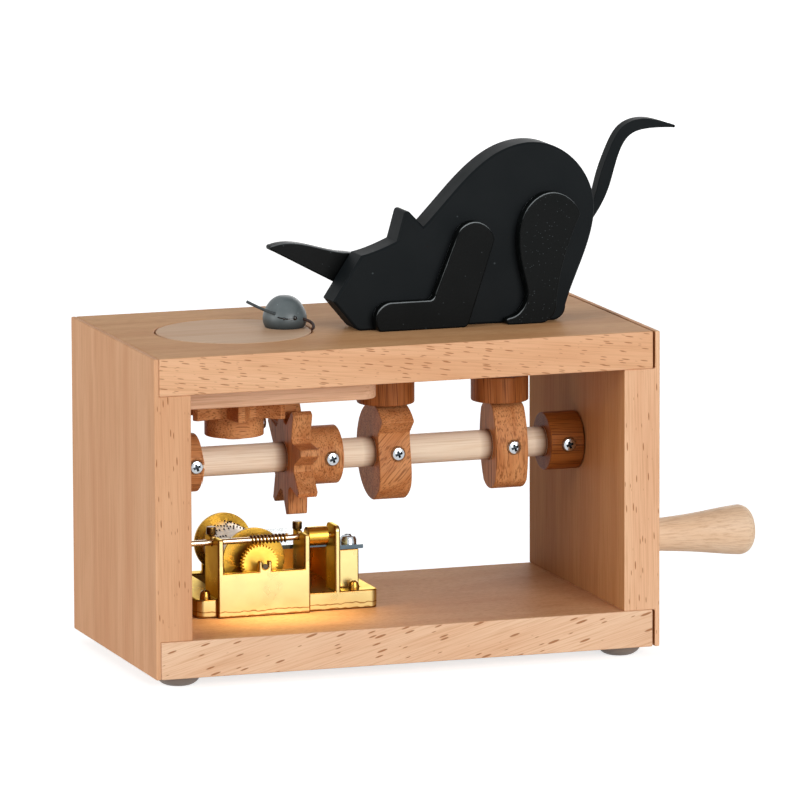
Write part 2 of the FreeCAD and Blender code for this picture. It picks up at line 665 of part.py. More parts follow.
CAT_BODY = [
    [(-18.3, 8.2), (-10.4, 20.1)],
    [(-10.4, 20.1), (-7.8, 20.7), (-4.7, 21.7), (-0.5, 23.4)],
    [(-0.5, 23.4), (1.52, 30.60)],
    [(1.52, 30.60), (2.25, 31.30), (3.21, 31.01)],
    [(3.21, 31.01), (7, 27)],
    [(7, 27), (19, 39.4), (30.7, 47.1), (40.9, 47.8), (50, 42.4), (55, 31.2), (54.4, 24.7),
     (50.4, 13.2), (46.9, 4)],
    [(46.9, 4), (45.9, 1.2), (43.5, 0)],
    [(43.5, 0), (-10.5, 0)],
    [(-10.5, 0), (-11.7, 0.4), (-12.6, 1.3)],
    [(-12.6, 1.3), (-18.3, 8.2)],
]
CAT_FRONT_LEG = [
    [(-6.5, 0), (-7.6, 3.6), (-3.4, 7.7)],
    [(-3.4, 7.7), (7.2, 7.7)],
    [(7.2, 7.7), (8.4, 8.1), (9.1, 9.4)],
    [(9.1, 9.4), (15.4, 25)],
    [(15.4, 25), (17.6, 27.5), (20.7, 28.1), (23.6, 26.7), (25.6, 23)],
    [(25.6, 23), (18.5, 1.4)],
    [(18.5, 1.4), (17.9, 0.4), (16.8, 0)],
    [(16.8, 0), (-6.5, 0)],
]
CAT_HIND_LEG = [
    [(29.8, 0), (29, 0.7), (29.8, 1.8)],
    [(29.8, 1.8), (32.6, 3), (34.8, 6.4), (34.4, 11.2), (32.9, 18), (32.7, 24.5), (35, 31.1),
     (41.6, 35), (47.8, 32.2), (49.8, 28.8)],
    [(49.8, 28.8), (46.3, 20.4), (43.6, 10)],
    [(43.6, 10), (43, 5.2)],
    [(43, 5.2), (42, 1.9), (39, 0)],
    [(39, 0), (29.8, 0)],
]


def paw_outline(boss):
    """The raised paw, from its pivot to its tip."""
    return [
        [(0, boss), (-22.6, 8.1)],
        [(-22.6, 8.1), (-32.3, 10.3), (-40.6, 11.4), (-43.2, 10.9)],
        [(-43.2, 10.9), (-44, 10.2), (-43.3, 9.5)],
        [(-43.3, 9.5), (-21.5, -2.2)],
        [(-21.5, -2.2), (-18.6, -3.5), (-15.5, -boss)],
        [(-15.5, -boss), (0, -boss)],
        [(0, -boss), (boss, 0), (0, boss)],
    ]


def tail_outline(boss):
    """The tail, from its pivot along the back and up to its bent tip."""
    return [
        [(0, -boss), (16, -boss)],
        [(16, -boss), (28, -2.4), (34.5, 1.6), (38.2, 5.8), (42, 12.8), (44.8, 21.7), (48.1, 26.9),
         (53.8, 28.5), (60.4, 28.4)],
        [(60.4, 28.4), (61, 28.8), (60.5, 29.1)],
        [(60.5, 29.1), (57.6, 30.1), (52, 31.2), (46.4, 29.5), (42.4, 23.6), (39.3, 15.2),
         (36.8, 8.2), (31, 4.2), (22, 3.4)],
        [(22, 3.4), (0, boss)],
        [(0, boss), (-boss, 0), (0, -boss)],
    ]


def cat():
    cat_x = "left + cat_at"
    sawn = slab("cat_body", CAT_BODY, "body_thick", cat_x, "body_back", "deck")
    eased = chamfer("cat_body_eased", sawn, lambda edge: edge.BoundBox.YLength < 0.001, size("cat_chamfer"))
    sockets = [rod("pivot_socket_%d" % i, "pivot_radius", "pivot_bite", x, "body_back", z, FORWARD)
               for i, (x, z) in enumerate(PIVOTS)]
    node(cut("cat_body_cut", eased, sockets), "cat_body")
    for name, runs in (("cat_front_leg", CAT_FRONT_LEG), ("cat_hind_leg", CAT_HIND_LEG)):
        node(slab(name, runs, "leg_thick", cat_x, "body_front", "deck"), name)


PIVOTS = [("paw_pivot_x", "paw_pivot_z"), ("tail_pivot_x", "tail_pivot_z")]


def levers():
    """The paw and the tail, each on a screw in the cat's back, and the screws."""
    shapes = [("cat_paw", paw_outline), ("cat_tail", tail_outline)]
    pins = []
    for (name, shape), (x, z) in zip(shapes, PIVOTS):
        lever = slab(name, shape(size("lever_boss")), "lever_thick", x, "lever_front + lever_thick", z)
        hole = rod(name + "_hole", "pivot_radius + running_gap", "lever_thick", x,
                   "lever_front + lever_thick", z, FORWARD)
        node(cut(name + "_cut", lever, [hole]), name)
        pins.append(screw(name + "_pin", x, "lever_front + lever_thick + lever_gap", z, ALONG_Y,
                          "lever_thick + lever_gap * 2 + pivot_bite", "pivot_head",
                          "pivot_head_thick", "pivot_radius"))
    node(group("lever_pin_group", pins), "lever_pins")


# music movement
def bed_screws():
    """Where the two screws that hold the movement's bed stand."""
    y = "front + bed_front + bed_screw_back"
    return [("bed_x + bed_screw_left", y), ("bed_x + bed_length - bed_screw_right", y)]


def comb_screws():
    """Where the two screws that hold the comb stand on its pedestal."""
    first = "front + pedestal_front + comb_screw_in"
    return [("comb_screw_x", first), ("comb_screw_x", first + " + comb_screw_gap")]


def movement_bed():
    """The cast bed with its case, bearing walls, post and the comb's pedestal."""
    slab_ = box("bed_slab", "bed_length", "bed_depth", "bed_thick", "bed_x", "front + bed_front",
                "bed_floor")
    post = box("case_post", "post_thick", "post_depth", "case_height + post_rise", "post_x",
               "front + bed_front", "bed_floor")
    crown = size("case_top") + size("post_rise") - 0.01
    pieces = [
        fillet("bed_rounded", slab_, runs_along(V(0, 0, 1)), size("bed_corner")),
        box("case_left", "wall_thick", "case_depth", "case_height", "case_x", "front + case_front",
            "bed_floor"),
        box("case_right", "wall_thick", "right_wall_depth", "case_height", "case_end - wall_thick",
            "front + case_front", "bed_floor"),
        box("case_panel", "case_length", "wall_thick", "panel_height", "case_x", "front + case_front",
            "bed_floor"),
        box("axle_ear", "ear_width", "wall_thick", "ear_height + panel_height", "drum_x - ear_width / 2",
            "front + case_front", "bed_floor"),
        fillet("post_rounded", post, lambda e: runs_along(V(1, 0, 0))(e) and e.CenterOfMass.z > crown,
               size("post_round")),
        box("pedestal", "pedestal_width", "pedestal_depth", "comb_low - bed_floor", "pedestal_x",
            "front + pedestal_front", "bed_floor"),
        box("rear_wall", "ear_width * 3", "wall_thick", "drum_z - bed_floor + ear_height",
            "drum_x - ear_width * 1.5", "drum_y + drum_length + rim_thick + side_gap", "bed_floor"),
    ]
    casting = fuse("bed_casting", pieces)
    hollow = "axle_radius + running_gap"
    tools = [
        box("drum_well", "(rim_radius + side_gap) * 2", "drum_length + rim_thick * 2 + side_gap * 2",
            "bed_thick", "drum_x - rim_radius - side_gap", "front + drum_front - side_gap", "bed_floor"),
        rod("axle_hole", hollow, "bed_depth + 2", "drum_x", "front + case_front - 1", "drum_z", ALONG_Y),
        box("axle_slot", "(" + hollow + ") * 2", "wall_thick", "ear_height * 2", "drum_x - (" + hollow + ")",
            "front + case_front", "drum_z"),
        rod("arbor_hole", "arbor_radius + running_gap", "bed_length", "bed_x", "arbor_y", "arbor_z",
            ALONG_X),
        box("arbor_slot", "case_length", "(arbor_radius + running_gap) * 2", "case_height", "case_x",
            "arbor_y - arbor_radius - running_gap", "arbor_z"),
    ]
    tools += [rod("bed_screw_hole_%d" % i, "screw_shank", "bed_thick", x, y, "bed_floor")
              for i, (x, y) in enumerate(bed_screws())]
    tools += [rod("comb_thread_%d" % i, "screw_shank", "comb_screw_bite", x, y,
                  "comb_low - comb_screw_bite") for i, (x, y) in enumerate(comb_screws())]
    node(cut("movement_bed_cut", casting, tools), "movement_bed")


def movement_screws():
    screws = [screw("bed_screw_%d" % i, x, y, "bed_top", UPRIGHT, "bed_thick + bed_screw_bite",
                    "bed_screw_head", "bed_screw_thick") for i, (x, y) in enumerate(bed_screws())]
    node(group("bed_screw_group", screws), "bed_screws")
    screws = [screw("comb_screw_%d" % i, x, y, "comb_low + comb_thick", UPRIGHT,
                    "comb_thick + comb_screw_bite", "comb_screw_head", "comb_screw_thick")
              for i, (x, y) in enumerate(comb_screws())]
    node(group("comb_screw_group", screws), "comb_screws")
    caps = [rod("arbor_cap_%d" % i, "cap_radius", "cap_height", x, "arbor_y + cap_back", "case_top")
            for i, x in enumerate(("case_x + wall_thick / 2", "case_end - wall_thick / 2"))]
    node(group("arbor_cap_group", caps), "arbor_caps")


def comb():
    """The steel comb: a thick root on the pedestal and a row of slit teeth."""
    root = box("comb_plate", "root_over + pedestal_width + comb_over", "pedestal_depth", "comb_thick",
               "comb_root", "front + pedestal_front", "comb_low")
    teeth = box("comb_blade", "comb_root - comb_left", "drum_length - comb_gap * 2", "comb_thick",
                "comb_left", "drum_y + comb_gap", "comb_low")
    holes = [rod("comb_hole_%d" % i, "screw_shank", "comb_thick", x, y, "comb_low")
             for i, (x, y) in enumerate(comb_screws())]
    pitch = "(drum_length - comb_gap * 2) / comb_teeth"
    slits = [box("slit_%d" % i, "comb_root - slit_margin - comb_left", "tooth_slit", "comb_thick",
                 "comb_left", "drum_y + comb_gap - tooth_slit / 2 + %d * %s" % (i, pitch), "comb_low")
             for i in range(1, int(size("comb_teeth")))]
    node(cut("comb_cut", fuse("comb_whole", [root, teeth]), holes + slits), "tone_comb")


def worm_arbor():
    """The thin steel arbor along the front, its worm cut as a row of threads."""
    arbor = body("worm_arbor_body")
    start = "belt_x - pulley_width / 2"
    disc(arbor, "arbor_bar", "arbor_radius", "0", "post_x + post_thick + side_gap - (" + start + ")")
    sketch = sketch_on(arbor, "XZ_Plane", "thread_sketch")
    inner, outer, pitch = size("arbor_radius") - 0.2, size("worm_radius"), size("worm_pitch")
    low = size("case_x") + size("worm_in") - size("belt_x") + size("pulley_width") / 2
    outline(sketch, [[(inner, low), (outer, low + pitch * 0.35)],
                     [(outer, low + pitch * 0.35), (outer, low + pitch * 0.6)],
                     [(outer, low + pitch * 0.6), (inner, low + pitch * 0.95)],
                     [(inner, low + pitch * 0.95), (inner, low)]])
    thread = arbor.newObject("PartDesign::Revolution", "thread")
    thread.Profile = sketch
    thread.ReferenceAxis = (sketch, ["V_Axis"])
    thread.Angle = 360
    threads = arbor.newObject("PartDesign::LinearPattern", "threads")
    threads.Originals = [thread]
    threads.Direction = ([f for f in arbor.Origin.OriginFeatures if f.Role == "Z_Axis"][0], [""])
    bind(threads, Length="(worm_turns - 1) * worm_pitch", Occurrences="worm_turns")
    arbor.Tip = threads
    place(arbor, start, "arbor_y", "arbor_z", ALONG_X)
    node(arbor, "worm_arbor")
    sleeve = rod("sleeve_outer", "sleeve_radius", "sleeve_length", "sleeve_x", "arbor_y", "arbor_z", ALONG_X)
    hole = rod("sleeve_bore", "arbor_radius", "sleeve_length", "sleeve_x", "arbor_y", "arbor_z", ALONG_X)
    node(cut("sleeve_cut", sleeve, [hole]), "arbor_sleeve")


def worm_wheel():
    """The toothed wheel on the drum's axle, just under the worm."""
    wheel = body("worm_wheel_body")
    disc(wheel, "wheel_disc", "wheel_radius", "0", "wheel_thick")
    sketch = sketch_on(wheel, "XY_Plane", "gap_sketch")
    radius, tooth = size("wheel_radius"), size("wheel_tooth")
    half = math.pi / size("wheel_teeth")
    deep, wide = [[(r * math.sin(a), r * math.cos(a)) for a in (-half * part, half * part)]
                  for r, part in ((radius - tooth, 0.4), (radius + 0.3, 0.75))]
    outline(sketch, [[deep[0], deep[1]], [deep[1], wide[1]], [wide[1], wide[0]], [wide[0], deep[0]]])
    gap = pocket(wheel, sketch, "wheel_gap_cut")
    around(wheel, gap, "wheel_teeth", "wheel_gaps")
    bore(wheel, "wheel_bore", "axle_radius")
    place(wheel, "drum_x", "arbor_y - wheel_thick / 2", "drum_z", ALONG_Y)
    node(wheel, "worm_wheel")


def drum():
    """The pinned drum between its two rims, on one axle."""
    node(rod("drum_axle_bar", "axle_radius", "bed_depth + bed_front - case_front", "drum_x",
             "front + case_front", "drum_z", ALONG_Y), "drum_axle")
    shell = rod("drum_shell", "drum_radius", "drum_length", "drum_x", "drum_y", "drum_z", ALONG_Y)
    hole = rod("drum_bore", "axle_radius", "drum_length", "drum_x", "drum_y", "drum_z", ALONG_Y)
    node(cut("drum_cut", shell, [hole]), "music_drum")
    for name, radius, y in (("front_rim", "rim_radius", "drum_y - rim_thick"),
                            ("rear_rim", "rear_rim_radius", "drum_y + drum_length")):
        rim = rod(name + "_disc", radius, "rim_thick", "drum_x", y, "drum_z", ALONG_Y)
        hole = rod(name + "_bore", "axle_radius", "rim_thick", "drum_x", y, "drum_z", ALONG_Y)
        node(cut(name + "_cut", rim, [hole]), name)


def belt():
    """A round rubber belt in both pulleys' grooves: two straight runs and two arcs."""
    big, small = size("big_pitch"), size("small_pitch")
    top = V(size("belt_x"), size("shaft_back"), size("shaft_up"))
    low = V(size("belt_x"), size("arbor_y"), size("arbor_z"))
    line = top - low
    lean = math.acos((small - big) / line.Length)
    up = math.atan2(line.z, line.y)

    def on(centre, radius, angle):
        return centre + V(0, radius * math.cos(angle), radius * math.sin(angle))

    a, b = up + lean, up - lean
    edges = [Part.LineSegment(on(low, small, a), on(top, big, a)),
             Part.Arc(on(top, big, a), on(top, big, up), on(top, big, b)),
             Part.LineSegment(on(top, big, b), on(low, small, b)),
             Part.Arc(on(low, small, b), on(low, small, up + math.pi), on(low, small, a))]
    path = Part.Wire([edge.toShape() for edge in edges])
    start = on(low, small, a)
    section = Part.Wire([Part.Circle(start, on(top, big, a) - start, size("belt_radius")).toShape()])
    thing = doc.addObject("Part::Feature", "belt_loop")
    thing.Shape = path.makePipeShell([section], True, False)
    node(thing, "drive_belt")


# build and write
left_wall()
right_wall()
base_board()
top_board()
feet()
bearing_plate()
camshaft()
ring("left_collar", "collar_radius", "collar_width", "left + left_collar_at", 0)
ring("right_collar", "collar_radius", "collar_width", "right_collar_x", 4)
drive_star()
paw_cam()
tail_cam()
camshaft_screws()
pulley("camshaft_pulley", "pulley_big", "shaft_radius", "belt_x - pulley_width / 2", "shaft_back", "shaft_up")
crank_arm()
crank_handle()
crank_pin()
turntable()
driven_star()
mouse()
follower("paw_follower", "paw_rod_x", "paw_follower_low", "paw_pivot_z")
follower("tail_follower", "tail_rod_x", "tail_follower_low", "tail_pivot_z")
cat()
levers()
movement_bed()
movement_screws()
comb()
worm_arbor()
pulley("arbor_pulley", "pulley_small", "arbor_radius", "belt_x - pulley_width / 2", "arbor_y", "arbor_z")
worm_wheel()
drum()
belt()

doc.recompute()
failed = [o.Name for o in doc.Objects if "Invalid" in o.State or "Error" in o.State]
if failed:
    raise SystemExit("failed features: " + ", ".join(failed))
for piece in nodes:
    if piece.Shape.isNull() or not piece.Shape.isValid() or not piece.Shape.Solids:
        raise SystemExit("bad shape: " + piece.Label)
for piece in nodes:
    piece.Shape.exportStep("parts/" + piece.Label + ".step")
print(len(nodes), "pieces")
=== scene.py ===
# Looks for the crank automaton. Units are metres, X to the crank side, Y to the back, Z up.
import math
import random

import bmesh
import bpy
from mathutils import Matrix, Vector
from mathutils.bvhtree import BVHTree


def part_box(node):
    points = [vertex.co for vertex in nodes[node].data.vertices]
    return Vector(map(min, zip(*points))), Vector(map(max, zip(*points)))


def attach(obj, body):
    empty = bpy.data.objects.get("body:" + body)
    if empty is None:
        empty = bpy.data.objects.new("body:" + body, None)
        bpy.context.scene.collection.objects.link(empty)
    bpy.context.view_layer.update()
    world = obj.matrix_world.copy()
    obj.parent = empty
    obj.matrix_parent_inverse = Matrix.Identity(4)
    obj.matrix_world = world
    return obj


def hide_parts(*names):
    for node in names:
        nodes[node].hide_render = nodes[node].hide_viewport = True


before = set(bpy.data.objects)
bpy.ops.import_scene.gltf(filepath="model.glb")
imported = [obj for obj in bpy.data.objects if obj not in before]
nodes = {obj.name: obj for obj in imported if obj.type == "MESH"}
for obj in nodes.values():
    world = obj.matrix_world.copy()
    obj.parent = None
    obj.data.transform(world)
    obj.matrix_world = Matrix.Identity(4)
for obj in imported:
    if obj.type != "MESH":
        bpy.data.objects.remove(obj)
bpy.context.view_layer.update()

mm = 0.001


def hexColour(code):
    # sRGB hex to the linear values that the shader wants
    parts = [int(code[i:i + 2], 16) / 255 for i in (1, 3, 5)]
    return tuple(p / 12.92 if p <= 0.04045 else ((p + 0.055) / 1.055) ** 2.4 for p in parts) + (1.0,)


def addNode(tree, kind, settings=None, links=None):
    # a setting goes to the input of that name or number, or else to the node itself
    node = tree.nodes.new(kind)
    for name, value in (settings or {}).items():
        if isinstance(name, int) or name in node.inputs:
            node.inputs[name].default_value = value
        else:
            setattr(node, name, value)
    for socket, source in (links or {}).items():
        tree.links.new(source, node.inputs[socket])
    return node


def emptyMaterial(name):
    material = bpy.data.materials.new(name)
    material.use_nodes = True
    tree = material.node_tree
    tree.nodes.clear()
    return material, tree


def closeMaterial(tree, shader):
    addNode(tree, "ShaderNodeOutputMaterial", links={"Surface": shader.outputs[0]})


def addObject(name, data):
    thing = bpy.data.objects.new(name, data)
    bpy.context.scene.collection.objects.link(thing)
    return thing


def meshFrom(bm, name):
    mesh = bpy.data.meshes.new(name)
    bm.to_mesh(mesh)
    bm.free()
    return mesh


def finishPiece(bm, name, body, material, slotName, replaced=(), smoothAngle=35):
    # writes a bmesh out as one piece that rides on its body
    bmesh.ops.recalc_face_normals(bm, faces=bm.faces)
    mesh = meshFrom(bm, name)
    mesh.shade_smooth()
    mesh.set_sharp_from_angle(angle=math.radians(smoothAngle))
    mesh.materials.append(material)
    piece = addObject(name, mesh)
    evened = piece.modifiers.new("evenNormals", "WEIGHTED_NORMAL")    # keeps flat faces flat beside their edges
    evened.keep_sharp = True
    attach(piece, body)
    if replaced:
        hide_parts(*replaced)


def mergedCopy(node):
    # the node's own triangles, with their doubled corners merged
    bm = bmesh.new()
    bm.from_mesh(nodes[node].data)
    bmesh.ops.remove_doubles(bm, verts=bm.verts, dist=1e-6)
    return bm


def touching(things, neighbours):
    # the things in groups, each grown from one of them through its neighbours
    waiting = set(things)
    while waiting:
        group = [waiting.pop()]
        for thing in group:
            near = neighbours(thing) & waiting
            waiting -= near
            group.extend(near)
        yield group


def boxCorners(verts):
    return [Vector([pick(v.co[i] for v in verts) for i in range(3)]) for pick in (min, max)]


def roundOver(bm, edges, reach, steps=3, clamped=False):
    # rounds the edges off, and gives the faces that this makes
    made = bmesh.ops.bevel(bm, geom=edges, offset=reach, offset_type="OFFSET", segments=steps, profile=0.5,
                           affect="EDGES", clamp_overlap=clamped, material=-1)
    return made["faces"]


easing = {
    "flat": 0.6,    # degrees, faces that turn by less are merged into one
    "sharpest": 32,    # degrees, an edge is rounded where its faces turn by more
    "smallHole": 6.5,    # mm, rims up to this size stay crisp in the pierced nodes
    "pierced": ("base_board", "left_collar", "right_collar", "drive_star", "driven_star", "paw_cam", "tail_cam",
                "movement_bed"),
    "crowded": ("movement_bed", "left_collar"),    # short edges here would stop the rounding of long ones
    # painted shade: sides that are browner than the rest because less light reaches them, the boards' tops and inner
    # faces, with a painted brown reflection on the left faces of the casting and painted shade on the comb's front
    "shadySides": {"base_board": (0, 0, 1), "right_wall": (-1, 0, 0), "left_wall": (1, 0, 0),
                   "top_board": (0, 0, 1), "movement_bed": (-1, 0, 0), "tone_comb": (0, -1, 0)},
    "squarely": 0.9,    # the least that a face looks to such a side, where 1 is straight at it
}


def longChains(edges, least):
    # the edges in chains that reach further than least, so that small holes keep their crisp rims
    kept = []
    for chain in touching(edges, lambda edge: {e for v in edge.verts for e in v.link_edges}):
        low, high = boxCorners([v for e in chain for v in e.verts])
        if (high - low).length > least:
            kept.extend(chain)
    return kept


def easedCopy(node, body, material, slotName, ease):
    # the node's own shape, merged, with its sharp edges rounded over and marked for the material
    bm = mergedCopy(node)
    bmesh.ops.dissolve_limit(bm, angle_limit=math.radians(easing["flat"]), verts=bm.verts, edges=bm.edges)
    if ease:
        eased = bm.faces.layers.float.new("eased")
        sharpest = math.radians(easing["sharpest"])
        sharp = [e for e in bm.edges if len(e.link_faces) == 2 and e.calc_face_angle(0) > sharpest]
        sharp = longChains(sharp, easing["smallHole"] * mm if node in easing["pierced"] else 0)
        for face in roundOver(bm, sharp, ease, clamped=node not in easing["crowded"]):
            face[eased] = 1.0
    if node in easing["shadySides"]:
        shady = bm.faces.layers.float.new("shady")
        side = Vector(easing["shadySides"][node])
        for face in bm.faces:
            if face.normal.dot(side) > easing["squarely"]:
                face[shady] = 1.0
    finishPiece(bm, node + "_eased", body, material, slotName, [node])


def woodMaterial(name, look):
    # planed wood under a thin clear coat: long soft streaks, and short dark flecks on the boards' edges
    material, tree = emptyMaterial(name)
    coords = addNode(tree, "ShaderNodeTexCoord")
    # two noises drawn out along the grain: a fine one for streaks and pores, and a broad one for the bands
    grain = {}
    for kind, noise in (("fine", {"Detail": look["fineDetail"], "Roughness": 0.62}),
                        ("band", {"Detail": 2.0, "Distortion": 0.4})):
        shift, along, across = (look[kind + part] * mm for part in ("Shift", "Length", "Width"))
        drawnOut = addNode(tree, "ShaderNodeMapping",
                           {"vector_type": "TEXTURE", "Rotation": (0, math.radians(look["grainAngle"]), 0),
                            "Location": (shift, shift, shift), "Scale": (along, across, across)},
                           {"Vector": coords.outputs["Object"]})
        pattern = addNode(tree, "ShaderNodeTexNoise", {"Scale": 1.0, **noise}, {"Vector": drawnOut.outputs[0]})
        grain[kind] = pattern.outputs["Fac"]
    bands = addNode(tree, "ShaderNodeMapRange", {"From Min": 0.35, "From Max": 0.65}, {"Value": grain["band"]})
    ground = addNode(tree, "ShaderNodeMix",
                     {"data_type": "RGBA", 6: hexColour(look["light"]), 7: hexColour(look["warm"])},
                     {0: bands.outputs[0]})
    streaks = addNode(tree, "ShaderNodeMapRange",
                      {"From Min": look["streakFrom"], "From Max": look["streakFrom"] + look["streakSoft"],
                       "To Max": look["streak"]}, {"Value": grain["fine"]})
    streaked = addNode(tree, "ShaderNodeMix", {"data_type": "RGBA", 7: hexColour(look["dark"])},
                       {0: streaks.outputs[0], 6: ground.outputs[2]})
    colour = streaked.outputs[2]
    if look["fleck"]:
        # each cell of a stretched pattern holds one fleck, of its own size, on the faces to the front and back
        place = addNode(tree, "ShaderNodeSeparateXYZ", links={"Vector": coords.outputs["Object"]})
        sheet = addNode(tree, "ShaderNodeCombineXYZ", links={"X": place.outputs[0], "Y": place.outputs[2]})
        laid = addNode(tree, "ShaderNodeMapping",
                       {"vector_type": "TEXTURE", "Rotation": (0, 0, math.radians(look["fleckAngle"])),
                        "Location": (look["fleckShift"] * mm, 0, 0),
                        "Scale": (look["fleckGap"] * mm, look["fleckRow"] * mm, 1)},
                       {"Vector": sheet.outputs[0]})
        cells = addNode(tree, "ShaderNodeTexVoronoi", {"voronoi_dimensions": "2D", "Scale": 1.0},
                        {"Vector": laid.outputs[0]})
        lot = addNode(tree, "ShaderNodeSeparateColor", links={"Color": cells.outputs["Color"]})
        reach = addNode(tree, "ShaderNodeMapRange", {"To Min": -0.06, "To Max": look["fleckSize"]},
                        {"Value": lot.outputs[0]})
        inside = addNode(tree, "ShaderNodeMath", {"operation": "SUBTRACT"},
                         {0: reach.outputs[0], 1: cells.outputs["Distance"]})
        inked = addNode(tree, "ShaderNodeMapRange", {"From Min": 0.0, "From Max": 0.05},
                        {"Value": inside.outputs[0]})
        facing = addNode(tree, "ShaderNodeSeparateXYZ", links={"Vector": coords.outputs["Normal"]})
        square = addNode(tree, "ShaderNodeMath", {"operation": "ABSOLUTE"}, {0: facing.outputs[1]})
        edgeOnly = addNode(tree, "ShaderNodeMapRange", {"From Min": 0.6, "From Max": 0.9, "To Max": look["fleck"]},
                           {"Value": square.outputs[0]})
        share = addNode(tree, "ShaderNodeMath", {"operation": "MULTIPLY"},
                        {0: inked.outputs[0], 1: edgeOnly.outputs[0]})
        flecked = addNode(tree, "ShaderNodeMix", {"data_type": "RGBA", 7: hexColour(look["fleckColour"])},
                          {0: share.outputs[0], 6: colour})
        colour = flecked.outputs[2]
    # painted shade: the faces marked shady are tinted darker
    if look.get("shadyTint"):
        within = addNode(tree, "ShaderNodeAttribute", {"attribute_name": "shady"})
        aged = addNode(tree, "ShaderNodeMix", {"data_type": "RGBA", "blend_type": "MULTIPLY",
                                               7: hexColour(look["shadyTint"])},
                       {0: within.outputs["Fac"], 6: colour})
        colour = aged.outputs[2]
    for at in look.get("shadeAndStainAt", ()):
        # painted contact shade and reflection of the piece glued there, with some of its finish crept along the
        # dowel, darker towards it
        along = addNode(tree, "ShaderNodeSeparateXYZ", links={"Vector": coords.outputs["Object"]})
        rising = addNode(tree, "ShaderNodeMapRange",
                         {"From Min": at - look["shadeAndStainLength"] * mm, "From Max": at, "To Max": look["shadeAndStain"]},
                         {"Value": along.outputs[0]})
        before = addNode(tree, "ShaderNodeMath", {"operation": "LESS_THAN", 1: at}, {0: along.outputs[0]})
        shadedAndStained = addNode(tree, "ShaderNodeMath", {"operation": "MULTIPLY"},
                          {0: rising.outputs[0], 1: before.outputs[0]})
        darker = addNode(tree, "ShaderNodeMix", {"data_type": "RGBA", 7: hexColour(look["shadeAndStainColour"])},
                         {0: shadedAndStained.outputs[0], 6: colour})
        colour = darker.outputs[2]
    bump = addNode(tree, "ShaderNodeBump", {"Strength": look["bump"], "Distance": 0.06 * mm},
                   {"Height": grain["fine"]})
    shader = addNode(tree, "ShaderNodeBsdfPrincipled",
                     {"Roughness": look["roughness"], "IOR": 1.5, "Specular IOR Level": look["specular"],
                      "Coat Weight": look["coat"], "Coat Roughness": look["coatRoughness"], "Coat IOR": 1.45},
                     {"Base Color": colour, "Normal": bump.outputs[0]})
    closeMaterial(tree, shader)
    return material


# Beech, planed and brushed with thin clear lacquer: warm pinkish cream, silky, with a soft sheen at low angles.
beechLook = {"light": "#E9B890", "warm": "#DEA87F", "dark": "#C48C62", "grainAngle": 0,
             "streak": 0.5, "streakFrom": 0.46, "streakSoft": 0.2,
             "fineDetail": 4, "fineLength": 20, "fineWidth": 0.4, "fineShift": 0,
             "bandLength": 90, "bandWidth": 7, "bandShift": 13,
             "fleck": 0.85, "fleckColour": "#9C6238", "fleckAngle": 0, "fleckShift": 0, "fleckGap": 7,
             "fleckRow": 1.1, "fleckSize": 0.17,
             "bump": 0.25, "roughness": 0.65, "specular": 0.1, "coat": 0.02, "coatRoughness": 0.3}
beechTop = woodMaterial("lacqueredBeechTop", {**beechLook, "grainAngle": 6, "fleckAngle": -9, "fleckGap": 5.5,
                                              "fleckRow": 0.7, "fleckSize": 0.26, "fleck": 0.75,
                                              "shadyTint": "#F0EBD8"})
beechBase = woodMaterial("lacqueredBeechBase",
                         {**beechLook, "light": "#EEC9A8", "warm": "#E5BA97", "grainAngle": -15, "fleckAngle": 16,
                          "fleckGap": 9, "fleckRow": 1.6, "fleckSize": 0.21, "fleckShift": 3,
                          "shadyTint": "#ECDCC6"})
uprightLook = {**beechLook, "grainAngle": 89, "fleckAngle": 92, "fleckGap": 8, "fleckRow": 1.2}
beechLeft = woodMaterial("lacqueredBeechLeft", {**uprightLook, "light": "#E0AE86", "warm": "#D59E76",
                                                "shadyTint": "#D0B898"})
beechRight = woodMaterial("lacqueredBeechRight", {**uprightLook, "light": "#ECBE98", "warm": "#E1AE88",
                                                  "shadyTint": "#D2BE9E"})
plateWood = woodMaterial("lacqueredBeechPlate", {**beechLook, "light": "#E6BE9E", "warm": "#DBAD8A",
                                                 "dark": "#BE8E6A", "fleck": 0, "streak": 0.7})
discWood = woodMaterial("lacqueredBeechDisc", {**beechLook, "light": "#E1C0A2", "warm": "#D8B190",
                                               "dark": "#C39A76", "fleck": 0})
# The same beech, stained and oiled: orange brown, open pores that show as dark threads, nearly no sheen.
brownLook = {**beechLook, "light": "#D1935F", "warm": "#BC7A49", "dark": "#753F1E", "streak": 0.75,
             "streakFrom": 0.5, "streakSoft": 0.16, "fineDetail": 1.5, "fineLength": 30, "fineWidth": 0.32,
             "bandLength": 26, "bandWidth": 2.5, "fleck": 0, "roughness": 0.5, "bump": 0.6}
brownUpright = woodMaterial("oiledBrownWoodUpright", {**brownLook, "grainAngle": 88})
brownSlanted = woodMaterial("oiledBrownWoodSlanted", {**brownLook, "grainAngle": -48})
brownAcross = woodMaterial("oiledBrownWoodAcross", {**brownLook, "grainAngle": 3})
# The same finish, darkened as painted shade, for the follower discs and the right collar that sit in shade; the
# collar's copy darker still.
shadedBrownLook = {**brownLook, "light": "#A9683A", "warm": "#945426", "dark": "#53280E"}
shadedBrownUpright = woodMaterial("shadedBrownWoodUpright", {**shadedBrownLook, "grainAngle": 88})
shadedBrownAcross = woodMaterial("shadedBrownWoodAcross", {**shadedBrownLook, "light": "#9A5A28", "warm": "#85481A",
                                                  "grainAngle": 3})
